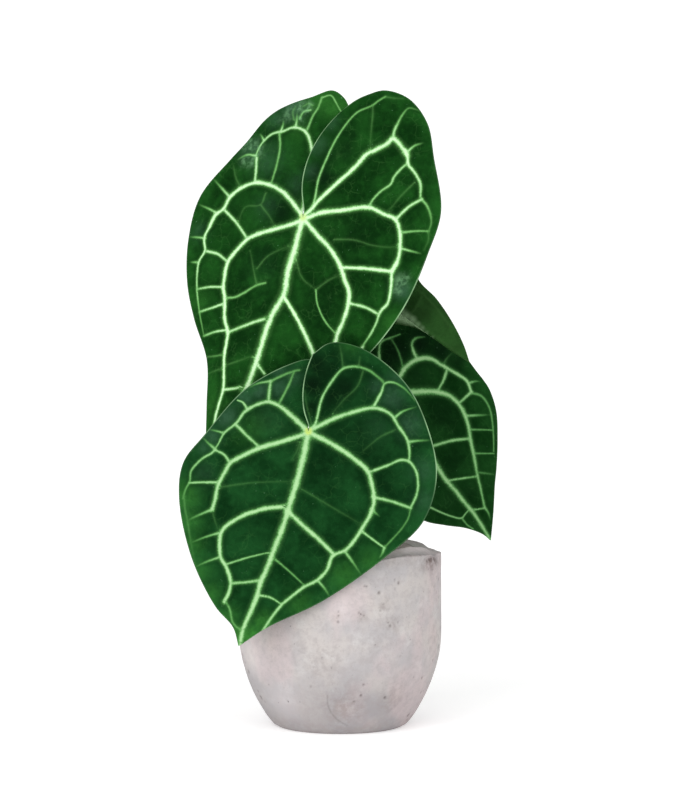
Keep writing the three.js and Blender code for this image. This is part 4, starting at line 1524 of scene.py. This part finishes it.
@dataclass
class Pot:
    """The round cast-concrete pot, curved in below. Lengths are in millimetres."""

    height: float = 115.0
    radius: float = 66.0
    base_radius: float = 42.0
    bowl_height: float = 62.0
    bowl_fullness: float = 0.78
    wall: float = 11.0
    floor: float = 10.0
    rim_round: float = 1.2
    sides: int = 440
    crowd: float = 0.45  # how far the places crowd together at the front
    foot_rings: int = 10
    wall_rings: int = 140
    lining_ring: int = 168  # the first ring inside the pot

    # Relief all over: height, breadth and seed. The rim has its own besides.
    GRAIN = ((0.2, 24, 21), (0.1, 7, 22), (0.05, 2.4, 23))
    RIM_GRAIN = ((0.28, 9, 24), (0.16, 3, 25))
    RIM_WEAR = 0.25
    # Pores on the front: where they are on the sheet, their radius and their depth.
    FRONT_PORES = (
        (364.5, 585, 0.6, 0.5), (366.5, 585.5, 0.6, 0.5), (379, 591.5, 0.9, 0.9),
        (394.5, 580.5, 0.6, 0.5), (398.5, 583, 0.8, 0.8), (395, 588, 0.5, 0.3), (338.5, 610, 0.5, 0.5),
        (338.5, 614, 0.6, 0.6), (338, 620, 0.7, 0.6), (359, 611, 0.6, 0.4), (364, 614, 0.6, 0.4),
        (361.5, 617, 0.5, 0.3), (388, 621, 0.6, 0.5), (390, 624.5, 0.8, 0.6), (397.5, 621, 0.6, 0.4),
        (383, 603, 0.9, 0.3), (380, 609, 0.8, 0.25), (422, 677.5, 0.8, 0.9), (413.5, 676.5, 0.6, 0.4),
        (363.5, 683, 0.8, 0.6), (361, 694, 0.8, 1.0), (385, 696.5, 1.0, 0.9), (311, 685, 0.7, 0.3),
        (354, 700, 0.6, 0.4), (245, 663, 0.6, 0.4), (269, 684, 0.6, 0.4), (288, 700, 0.5, 0.4),
        (428.5, 570, 0.6, 0.5), (400, 655, 0.5, 0.3), (322, 656, 0.5, 0.3), (427, 562.6, 1.0, 0.5),
        (429.5, 561, 1.1, 0.7), (432, 559.8, 1.2, 0.8), (434.5, 560.4, 1.1, 0.7), (437, 561.8, 1.0, 0.4),
    )
    # Fine marks in the front: routes on the sheet, and the radius and depth of the groove.
    SCRATCHES = (
        ((327.5, 694), (328, 703), (331, 711), (338, 719), (347, 725)),
        ((424, 562), (432, 557), (437, 561)),
    )
    SCRATCH = (0.6, 0.16)
    # Pores elsewhere: how many, the seed, the bearings that they keep to, and their margin.
    LOOSE_PORES = (170, 11, (62, 298), 3.0)
    # Darker patches on the front: where they are on the sheet, their breadth and strength.
    DARK_PATCHES = (
        (345, 706, 17, 0.4), (392, 700, 13, 0.3), (306, 706, 12, 0.15), (322, 660, 13, 0.2),
        (384, 604, 5, 0.35), (362, 614, 4, 0.3), (391, 622, 5, 0.35), (338, 616, 3, 0.25),
        (431, 566, 6, 0.4), (433, 640, 8, 0.15), (375, 650, 12, 0.1), (300, 650, 10, 0.12),
    )
    # Paler patches on the front, given as the dark patches are.
    PALE_PATCHES = ((340, 605, 9, 0.2), (352, 596, 10, 0.05), (252, 655, 14, 0.25), (285, 700, 14, 0.2))
    # Nicks in the rim: degrees round from the front, length and depth.
    NICKS = ((69, 5, 1.6), (74, 3.4, 1.0), (118, 6, 0.8), (152, 4, 0.7), (214, 7, 0.9),
             (262, 4, 0.8), (308, 5, 0.7), (20, 4, 0.5))
    NICK_BREADTH = 2.6
    # How the rim stands off level, as swells, and how its inner lip does besides.
    RIM_WARP = ((3.4, 38, 25), (-3.0, 106, 18))
    LIP_WARP = (4.8, 58, 24)
    WARP_DEPTH = 22.0  # how far below the rim the wall follows it
    # Stains: swells along the rim's outer edge with their breadths. Stain and painted shadow
    # under the chipped rim: swells in the side with their heights and breadths.
    BRIM_STAINS = (((0.8, 47, 14), 1.1), ((0.6, 112, 30), 1.8))
    CHIP_STAIN_AND_SHADOW = (((0.7, 66, 12), 109.5, 4.5), ((1, 64, 5), 112.4, 1.4))
    # Painted light on the inner lip's top: its size, bearing and breadth.
    PAINTED_LIGHT_LIP = (1, 56, 34)

    def reach(self, height: Array) -> Array:
        """The wall's outer radius at a height."""
        climb = np.clip(np.asarray(height) / self.bowl_height, 0, 1)
        rise = np.sin(climb * np.pi / 2) ** self.bowl_fullness
        return self.base_radius + (self.radius - self.base_radius) * rise

    def profile(self) -> Array:
        """The section from the middle of the base round to the middle of the floor."""
        foot = np.array([[r, 0.0] for r in (0, 12, 24, 33, 38, 40.6)])
        heel = np.array([
            [self.base_radius - 1 + math.sin(a), 1 - math.cos(a)]
            for a in np.linspace(0.2, 1.2, 5)
        ])
        top = self.height - self.rim_round
        climb = np.linspace(1.4, top, self.wall_rings)
        outer = np.stack([self.reach(climb), climb], axis=1)
        arc = np.linspace(0, np.pi / 2, 7)[1:]
        shoulder = np.stack([self.radius - self.rim_round * (1 - np.cos(arc)),
                             top + self.rim_round * np.sin(arc)], axis=1)
        inner_edge = self.radius - self.wall
        flat = np.linspace(self.radius - self.rim_round, inner_edge + self.rim_round, 9)[1:]
        rim = np.stack([flat, np.full(len(flat), self.height)], axis=1)
        inside = np.stack([inner_edge + self.rim_round * (1 - np.sin(arc)),
                           top + self.rim_round * np.cos(arc)], axis=1)
        drop = np.concatenate([np.linspace(top - 1, 92, 16), np.linspace(88, self.floor, 8)])
        inner = np.stack([self.reach(drop) - self.wall, drop], axis=1)
        bed = np.array([[24.0, self.floor], [12.0, self.floor], [0.0, self.floor]])
        return np.vstack([foot, heel, outer, shoulder, rim, inside, inner, bed])

    def front(self, x: float, y: float) -> Triple:
        """Finds the place on the pot's front that is seen at a place on the sheet."""
        across, up = off_sheet(x, y)
        height = up
        for _ in range(6):
            back = -math.sqrt(max(float(self.reach(height)) ** 2 - across**2, 0.0))
            height = (up - back * math.sin(LEAN)) / math.cos(LEAN)
        return across, back, height

    def pores(self) -> Array:
        """Every pore of the outside: place, radius and depth, one a row."""
        rows = [(*self.front(x, y), radius, depth) for x, y, radius, depth in self.FRONT_PORES]
        for route in self.SCRATCHES:
            path = spline(np.array(route, dtype=float), 36)
            rows += [(*self.front(x, y), *self.SCRATCH) for x, y in path]
        count, seed, bearings, margin = self.LOOSE_PORES
        rng = np.random.default_rng(seed)
        for _ in range(count):
            around = rng.uniform(*map(math.radians, bearings))
            height = rng.uniform(margin, self.height - margin)
            reach = float(self.reach(height))
            radius = 0.7 + 0.9 * rng.random() ** 3
            rows.append((reach * math.sin(around), -reach * math.cos(around), height,
                         radius, radius * rng.uniform(0.4, 0.9)))
        return np.array(rows)

    def relief(self, body: Array, outside: Array) -> tuple[Array, Array]:
        """Works out the relief of the surface, but for its nicks.

        Args:
            body: the plain pot's places.
            outside: whether each is on the outside, below the rim.

        Returns:
            How far each place moves outwards, and how far down a pore it lies, which sets the painted
            shade in the pores.
        """
        height = body[:, 2]
        move = sum(high * grain(body, broad, seed) for high, broad, seed in self.GRAIN)
        rough = sum(high * grain(body, broad, seed) for high, broad, seed in self.RIM_GRAIN)
        move += smoothstep(self.height - 5, self.height - 1, height) * (rough - self.RIM_WEAR)
        pore_shade = np.zeros(len(body))
        for *spot, radius, depth in self.pores():
            near = np.flatnonzero(np.abs(height - spot[2]) < 3 * radius)
            dent = bell(np.linalg.norm(body[near] - spot, axis=1), radius) * outside[near]
            move[near] -= depth * dent
            # painted shade in the pore, stronger where it is deeper
            pore_shade[near] = np.maximum(pore_shade[near], dent * min(1.0, 0.25 + depth))
        return move, pore_shade

    def dabs(self, body: Array, marks: tuple[tuple[float, ...], ...]) -> Array:
        """How strongly soft marks drawn on the front cover each place."""
        cover = np.zeros(len(body))
        for x, y, breadth, strength in marks:
            gap = np.linalg.norm(body - self.front(x, y), axis=1)
            cover = np.maximum(cover, strength * bell(gap, breadth))
        return cover

    def build(self, concrete: Material) -> Piece:
        """Builds the pot with its pores, nicks, stains, painted shade and light, and uneven rim."""
        profile = self.profile()
        places, faces = lathe(profile, self.sides, self.crowd)
        plain, height = places[:-2], places[:-2, 2]
        ring = np.repeat(np.arange(len(profile) - 2), self.sides)
        outside = ring < self.foot_rings + self.wall_rings
        around = np.degrees(np.arctan2(plain[:, 0], -plain[:, 1])) % 360
        edge = np.hypot(np.hypot(plain[:, 0], plain[:, 1]) - self.radius, height - self.height)
        move, pore_shade = self.relief(plain, outside)
        for way, length, depth in self.NICKS:
            along = np.radians(around - way) * self.radius
            move -= depth * bell(along, length) * bell(edge, self.NICK_BREADTH)
        move *= smoothstep(0.0, 5, height) + (~outside & (height < 30))
        slope = np.gradient(profile, axis=0)[1:-1]
        slope /= np.linalg.norm(slope, axis=1, keepdims=True)
        outwards = spun(slope[:, ::-1] * (1, -1), turns(self.sides, self.crowd))
        body = plain + outwards * move[:, None]
        inward = smoothstep(-self.radius, self.wall - self.radius, -np.hypot(body[:, 0], body[:, 1]))
        warp = sum(swell(around, *hump) for hump in self.RIM_WARP)
        warp += inward * swell(around, *self.LIP_WARP)
        body[:, 2] += warp * smoothstep(self.height - self.WARP_DEPTH, self.height, body[:, 2])
        places = np.vstack([body, places[-2:]])
        piece = make_piece("pot_shell", places, faces, (concrete,))
        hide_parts("pot")

        height = body[:, 2]
        # painted light on the top of the inner lip, where the leaves above cast shade
        flat = inward * swell(around, *self.PAINTED_LIGHT_LIP) * (height > self.height - 4)
        brim = sum(swell(around, *hump) * bell(edge, broad) for hump, broad in self.BRIM_STAINS)
        stains_and_shade = [
            0.15 * smoothstep(self.height - 5, self.height - 0.5, height),
            brim + 0.3 * flat * smoothstep(0.2, 0.8, grain(body, 2.6, 27)),
            # stain and painted shadow under the chipped rim
            sum(swell(around, *hump) * bell(height - middle, broad)
                for hump, middle, broad in self.CHIP_STAIN_AND_SHADOW),
            self.dabs(plain, self.DARK_PATCHES) * outside,
            # painted shade near the foot, where the bowl turns under
            0.3 * (1 - smoothstep(1, 16, height)) * outside,
        ]
        # painted light on the inner wall below the rim, where the leaves above cast shade
        paler_and_painted_light = (ring > self.lining_ring) * smoothstep(80, 100, height) + flat
        paler_and_painted_light += self.dabs(plain, self.PALE_PATCHES) * outside
        notes = {"stain_and_shade": np.max(stains_and_shade, axis=0), "paler_and_painted_light": paler_and_painted_light, "pore_shade": pore_shade}
        for name, values in notes.items():
            note(piece, name, np.append(np.clip(values, 0, 1), [0, 0]))
        note(piece, "rise", places[:, 2] / self.height)
        return piece


def turned(spots: Array, angle: float, axes: tuple[int, int]) -> Array:
    """Turns places by an angle in the plane of two axes, from the first to the second."""
    a, b = axes
    cos, sin = math.cos(angle), math.sin(angle)
    made = spots.copy()
    made[:, a] = cos * spots[:, a] - sin * spots[:, b]
    made[:, b] = sin * spots[:, a] + cos * spots[:, b]
    return made


def chip(rng: np.random.Generator, size: Triple) -> Mesh:
    """A broken bit with flat facets.

    Args:
        rng: the source of its random shape and turn.
        size: its half breadths in millimetres, the thickness last.

    Returns:
        Its places about the origin and its faces.
    """
    spots = rng.normal(size=(13, 3))
    spots /= np.linalg.norm(spots, axis=1, keepdims=True)
    spots *= np.array(size) * rng.uniform(0.75, 1.0, (13, 1))
    yaw, tilt = rng.uniform(0, 2 * math.pi), rng.normal(0, 0.35)
    form = bmesh.new()
    for spot in turned(turned(spots, tilt, (1, 2)), yaw, (0, 1)):
        form.verts.new(spot)
    hull = bmesh.ops.convex_hull(form, input=form.verts)
    loose = {g for g in hull["geom_interior"] + hull["geom_unused"]
             if isinstance(g, bmesh.types.BMVert)}
    bmesh.ops.delete(form, geom=list(loose), context="VERTS")
    form.verts.index_update()
    bmesh.ops.recalc_face_normals(form, faces=form.faces)
    made = np.array([tuple(v.co) for v in form.verts])
    faces = [[v.index for v in face.verts] for face in form.faces]
    form.free()
    return made, faces


class Bit(Enum):
    """The kinds of bit that lie on the mix: name, count, least and greatest half breadth,
    flatness and the random seed."""

    BARK = ("bark_chips", 230, 2.2, 5.2, 0.38, 31)
    PUMICE = ("pumice_grit", 120, 1.0, 2.6, 0.85, 32)
    CHARCOAL = ("charcoal_bits", 60, 1.4, 3.2, 0.75, 33)


@dataclass
class GrowingMix:
    """The bark and grit mix that fills the pot below its rim. Lengths are in millimetres."""

    pot: Pot
    level: float = 99.0
    heap: float = 4.0
    relief: float = 1.4
    rings: int = 64
    sides: int = 220
    stem_room: float = 15.0

    CRUMB = ((0.8, 3.2, 41), (0.35, 1.3, 42))  # height, breadth and seed of the fine relief

    def height_at(self, spots: Array) -> Array:
        """The mix's surface height over places across the pot."""
        x, y = spots[:, 0], spots[:, 1]
        share = np.hypot(x, y) / (self.pot.radius - self.pot.wall)
        lumps = (np.sin(0.43 * x + 1.1 * np.sin(0.31 * y)) * np.cos(0.39 * y + 0.9 * np.sin(0.27 * x)))
        return (self.level + self.heap * (1 - share**2) + self.relief * lumps * (1 - share**6))

    def build(self, mix: Material, bits: dict[Bit, Material]) -> list[Piece]:
        """Builds the mix and the bits that lie on it."""
        low = self.pot.floor + GAP
        climb = np.linspace(low, self.level, 14)
        side = np.stack([self.pot.reach(climb) - self.pot.wall - 2 * GAP, climb], axis=1)
        reach = np.linspace(side[-1, 0], 0, self.rings)
        top = np.stack([reach, np.full(self.rings, self.level)], axis=1)
        places, faces = lathe(np.vstack([[[0, low]], side, top[1:]]), self.sides)
        rises = places[:, 2] > self.level - 0.01
        crumb = sum(high * grain(places, broad, seed) for high, broad, seed in self.CRUMB)
        places[rises, 2] = (self.height_at(places) + crumb)[rises]
        bed = make_piece("mix_bed", places, faces, (mix,))
        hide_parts("growing_mix")
        note(bed, "lot", 0.5 + 0.5 * grain(places, 4, 43))
        return [bed] + [self.strew(bit, bits[bit]) for bit in Bit]

    def strew(self, bit: Bit, finish: Material) -> Piece:
        """Strews one kind of bit over the mix, as one piece."""
        name, count, least, most, flatness, seed = bit.value
        rng = np.random.default_rng(seed)
        parts, lots = [], []
        while len(parts) < count:
            size = least + (most - least) * rng.random() ** 1.6
            far = math.sqrt(rng.random()) * (self.pot.radius - self.pot.wall - size - 1)
            if far < self.stem_room + size * 0.4:
                continue
            way = rng.uniform(0, 2 * math.pi)
            spot = np.array([far * math.sin(way), far * math.cos(way), 0.0])
            spot[2] = self.height_at(spot[None])[0] + size * flatness * 0.45
            places, faces = chip(rng, (size, size * rng.uniform(0.5, 0.9), size * flatness))
            parts.append((places + spot, faces))
            lots += [rng.random()] * len(places)
        places, faces = join(parts)
        piece = make_piece(name, places, faces, (finish,), smooth=False)
        note(piece, "lot", np.array(lots))
        return piece


# ---- stem and petioles ----


@dataclass
class Rhizome:
    """The short stem with its ring scars, papery sheaths and thick roots.

    Lengths are in millimetres.
    """

    radius: float = 11.0
    foot: float = 76.0
    top: float = 114.0
    crown_height: float = 3.0
    swell_pitch: float = 12.0
    scar_pitch: float = 4.6
    scar_depth: float = 0.7
    sheath_count: int = 9
    sheath_foot: float = 101.0
    sheath_thickness: float = 0.35
    root_steps: int = 60
    root_sides: int = 16
    root_start: float = 104.5

    # Roots: degrees round from the front, reach and radius.
    ROOTS = ((25, 29, 1.9), (78, 24, 1.6), (131, 33, 1.9), (190, 26, 1.7), (244, 31, 1.8),
             (310, 23, 1.5))

    def build(self, bark: Material, paper: Material, root: Material) -> list[Piece]:
        """Builds the stem, its sheaths and its roots."""
        shoulder = self.top - self.crown_height
        climb = np.linspace(self.foot, shoulder, 66)
        bulge = 0.95 + 0.05 * np.cos((climb - self.foot) * 2 * np.pi / self.swell_pitch)
        side = np.stack([self.radius * bulge, climb], axis=1)
        crown = np.array([
            [self.radius * 0.95 * math.cos(a), shoulder + self.crown_height * math.sin(a)]
            for a in np.linspace(0.15, 1.45, 10)
        ])
        profile = np.vstack([[[0, self.foot]], side, crown, [[0, self.top]]])
        places, faces = lathe(profile, 96)
        phase = places[:, 2] * np.pi / self.scar_pitch + 0.4 * grain(places, 9, 51)
        move = 0.7 * grain(places, 6, 52) + 0.3 * grain(places, 2, 53)
        move -= self.scar_depth * np.abs(np.sin(phase)) ** 8
        reach = np.hypot(places[:, 0], places[:, 1])
        places[:, :2] *= (1 + move / np.maximum(reach, 1))[:, None]
        stem = make_piece("stem_rhizome", places, faces, (bark,))
        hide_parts("stem")
        note(stem, "along", (places[:, 2] - self.foot) / (self.top - self.foot) * 0.8)
        return [stem, self.sheaths(paper), self.roots(root)]

    def sheaths(self, paper: Material) -> Piece:
        """Dry papery sheaths that stand round the crown and curl outwards."""
        rng = np.random.default_rng(61)
        u, v = np.meshgrid(np.linspace(-1, 1, 13), np.linspace(0, 1, 22))
        parts = []
        for turn in np.linspace(0, 2 * math.pi, self.sheath_count, endpoint=False):
            turn += rng.uniform(-0.25, 0.25)
            tall, broad = rng.uniform(15, 25), rng.uniform(0.42, 0.62)
            curl = rng.uniform(1, 6)
            around = turn + u * broad * (1 - v) ** 0.6
            reach = self.radius + 0.5 + curl * v**2.2 + 0.8 * (1 - u**2) * v
            reach = reach + 0.5 * np.sin(5 * u + 9 * v + turn)
            outwards = np.stack([np.sin(around), -np.cos(around), np.zeros_like(u)], axis=-1)
            outer = reach[..., None] * outwards
            outer[..., 2] = self.sheath_foot + tall * v
            parts.append(self.shell(outer, outer - self.sheath_thickness * outwards))
        places, faces = join(parts)
        piece = make_piece("stem_sheaths", places, faces, (paper,))
        note(piece, "lot", 0.5 + 0.5 * grain(places, 7, 62))
        return piece

    @staticmethod
    def shell(outer: Array, inner: Array) -> Mesh:
        """Closes two matching grids of places into one thin sheet."""
        rows, columns = outer.shape[:2]
        count = rows * columns
        number = np.arange(count).reshape(rows, columns)
        quads = np.stack([number[:-1, :-1], number[:-1, 1:], number[1:, 1:],
                          number[1:, :-1]], axis=-1).reshape(-1, 4)
        loop = [*number[0], *number[1:, -1], *number[-1, -2::-1], *number[-2:0:-1, 0]]
        faces = quads.tolist() + (quads[:, ::-1] + count).tolist()
        for a, b in zip(loop, [*loop[1:], loop[0]]):
            faces.append([int(b), int(a), int(a) + count, int(b) + count])
        return np.vstack([outer.reshape(-1, 3), inner.reshape(-1, 3)]), faces

    def roots(self, finish: Material) -> Piece:
        """Thick roots that leave the stem and dive into the mix."""
        steps, sides = self.root_steps, self.root_sides
        parts, along = [], []
        for turn, far, thick in self.ROOTS:
            angle = math.radians(turn)
            way = np.array([math.sin(angle), -math.cos(angle), 0])
            bend = np.array([-way[1], way[0], 0]) * 4
            path = spline(np.array([
                way * 8 + (0, 0, self.root_start),
                way * 13 + (0, 0, self.root_start + 1.5),
                way * 19 + bend * 0.5 + (0, 0, self.root_start + 0.3),
                way * far + bend + (0, 0, self.root_start - 5.5),
                way * (far + 5) + (0, 0, self.root_start - 12.5),
            ]), steps)
            radii = np.linspace(thick, thick * 0.7, steps) * (1 + 0.08 * grain(path, 4, 71))
            parts.append(tube(path, radii, sides))
            along += [*np.repeat(np.linspace(0, 0.8, steps), sides), 0.0, 0.8]
        places, faces = join(parts)
        piece = make_piece("stem_roots", places, faces, (finish,))
        note(piece, "along", np.array(along))
        return piece


@dataclass
class Petiole:
    """A blade's stalk, swollen at its foot and at the knee under the blade.

    Lengths are in millimetres.
    """

    blade: Blade
    foot_radius: float = 2.9
    foot_taper: float = 25.0
    radius: float = 2.1
    knee_radius: float = 2.8
    knee_length: float = 15.0
    steps: int = 200
    sides: int = 24

    def path(self) -> Array:
        """The stalk's axis, from the stem to the back of the sinus."""
        form = self.blade.form
        start, normal = self.blade.root()
        end = start + normal * form.knee_side * (Blade.THICKNESS / 2 + 2 * GAP)
        knee = end + normal * form.knee_side * self.knee_length * 0.6
        return spline(np.array([*form.petiole, knee, end]), self.steps)

    def build(self, finish: Material) -> Piece:
        """Builds the stalk."""
        path = self.path()
        walked = np.linspace(0, length_of(path), self.steps)
        half = self.knee_length / 2
        radii = self.radius + (self.foot_radius - self.radius) * np.exp(-walked / self.foot_taper)
        radii += (self.knee_radius - self.radius) * bell(walked[-1] - walked - half, half)
        name = self.blade.form.name
        places, faces = tube(path, radii, self.sides)
        piece = make_piece(f"stalk_{name}", places, faces, (finish,))
        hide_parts(f"petiole_{name}")
        along = np.repeat(walked / walked[-1], self.sides)
        note(piece, "along", np.append(along, [0, 1]))
        return piece


# ---- studio ----


@dataclass
class Studio:
    """A pale floor, soft plain light and the camera. Distances are in metres."""

    distance: float = 6.0
    aim: Triple = (6.5, 0.0, 213.1)  # millimetres
    frame_height: float = 520.0  # millimetres across the picture's longer side
    sensor: float = 36.0
    clip: float = 60.0
    # Each sun: where it hangs, its strength and its breadth in degrees.
    suns: tuple[tuple[Triple, float, float], ...] = (
        ((-0.5, -1.0, 0.62), 1.42, 60.0), ((0.9, -0.8, 0.6), 0.35, 60.0),
    )
    ambient: float = 0.62
    floor_size: float = 24.0
    floor_middle: Triple = (0, 6, 0)
    floor_glow: float = 0.32

    def build(self) -> None:
        """Sets the floor, the light and the camera."""
        self.lay_floor()
        scene = bpy.context.scene
        scene.view_settings.view_transform = "Standard"
        scene.world = bpy.data.worlds.new("studio")
        scene.world.use_nodes = True
        light = scene.world.node_tree.nodes["Background"].inputs
        light["Color"].default_value = (1, 1, 1, 1)
        light["Strength"].default_value = self.ambient
        for number, (way, strength, spread) in enumerate(self.suns):
            lamp = bpy.data.lights.new(f"soft_light_{number}", "SUN")
            lamp.energy = strength
            lamp.angle = math.radians(spread)
            self.hang(lamp, Vector(way), Vector(way))
        camera = bpy.data.cameras.new("camera")
        camera.sensor_width = self.sensor
        camera.lens = self.sensor * self.distance / (self.frame_height * MM)
        camera.clip_end = self.clip
        away = Vector((0, -math.cos(LEAN), math.sin(LEAN)))
        scene.camera = self.hang(camera, Vector(self.aim) * MM + away * self.distance, away)

    def lay_floor(self) -> None:
        """Lays the floor, which glows a little so that it stays pale."""
        bpy.ops.mesh.primitive_plane_add(size=self.floor_size, location=self.floor_middle)
        floor = bpy.context.object
        floor.name = "floor"
        f = Finish("pale floor")
        colour = f.mix(f.span(f.noise(60, 2), 0.3, 0.7), tone(251, 251, 251), tone(253, 253, 253))
        floor.data.materials.append(f.surface(
            colour, 0.9, Specular_IOR_Level=0.1, Emission_Color=(1, 1, 1, 1),
            Emission_Strength=self.floor_glow,
        ))

    @staticmethod
    def hang(data: bpy.types.ID, spot: Vector, away: Vector) -> Piece:
        """Places a light or a camera that looks against the way it is hung."""
        holder = bpy.data.objects.new(data.name, data)
        bpy.context.collection.objects.link(holder)
        holder.location = spot
        holder.rotation_euler = (-away).to_track_quat("-Z", "Y").to_euler()
        return holder


def main() -> None:
    """Builds the pieces in order; each is reported as it is made."""
    logging.basicConfig(level=logging.INFO, format="%(message)s")
    Studio().build()

    pot = Pot()
    pot.build(CastConcrete().material("cast concrete"))
    GrowingMix(pot).build(
        Crumb(tone(38, 27, 20), tone(78, 56, 40), 2.5, 0.5).material("growing mix"),
        {
            Bit.BARK: Crumb(tone(62, 38, 24), tone(140, 94, 62), 3, 0.4).material("bark"),
            Bit.PUMICE: Crumb(tone(176, 170, 158), tone(222, 218, 208), 1.5, 0.3).material("pumice"),
            Bit.CHARCOAL: Crumb(tone(20, 20, 21), tone(52, 52, 54), 2, 0.3).material("charcoal"),
        },
    )
    Rhizome().build(
        Stalk(tone(92, 74, 48), tone(112, 100, 58), tone(120, 128, 66), 0.7).material("rhizome"),
        Crumb(tone(104, 74, 46), tone(176, 140, 96), 5, 0.2).material("dry sheath"),
        Stalk(tone(150, 140, 104), tone(168, 154, 118), tone(120, 98, 70), 0.6).material("root"),
    )

    under = LeafBack(dark=tone(40, 76, 38), light=tone(58, 92, 54), rib=tone(116, 148, 96),
                     ribbing=1, gloss=0.22).material("leaf undersurface")
    # a darker copy of the undersurface: painted shade for the rear blade that hangs in the others' shade
    shaded = LeafBack(dark=tone(26, 57, 20), light=tone(40, 80, 33), rib=tone(60, 96, 50),
                      ribbing=0.25, gloss=0.04).material("shaded leaf undersurface")
    stalk = Stalk(tone(104, 96, 56), tone(98, 134, 62), tone(126, 160, 84), 0.42).material("stalk")
    # Each leaf, its undersurface and its velvet's deep, open, glow, core and sap colours.
    leaves = (
        (UPPER_LEAF, under,
         ((5, 42, 7), (26, 80, 25), (106, 172, 92), (206, 243, 194), (190, 214, 110))),
        (FRONT_LEAF, under,
         ((4, 41, 12), (23, 74, 32), (90, 152, 80), (166, 211, 152), (196, 214, 80))),
        (RIGHT_LEAF, under,
         ((4, 40, 7), (22, 67, 24), (80, 138, 74), (150, 196, 136), (150, 190, 110))),
        (REAR_LEAF, shaded,
         ((4, 42, 12), (24, 76, 32), (76, 146, 68), (164, 212, 146), (196, 214, 80))),
    )
    for form, back, colours in leaves:
        velvet = Velvet(*(tone(*colour) for colour in colours))
        blade = Blade(form)
        blade.build(velvet.material(f"velvet leaf, {form.name}"), back)
        Petiole(blade).build(stalk)


if __name__ == "__main__":
    main()
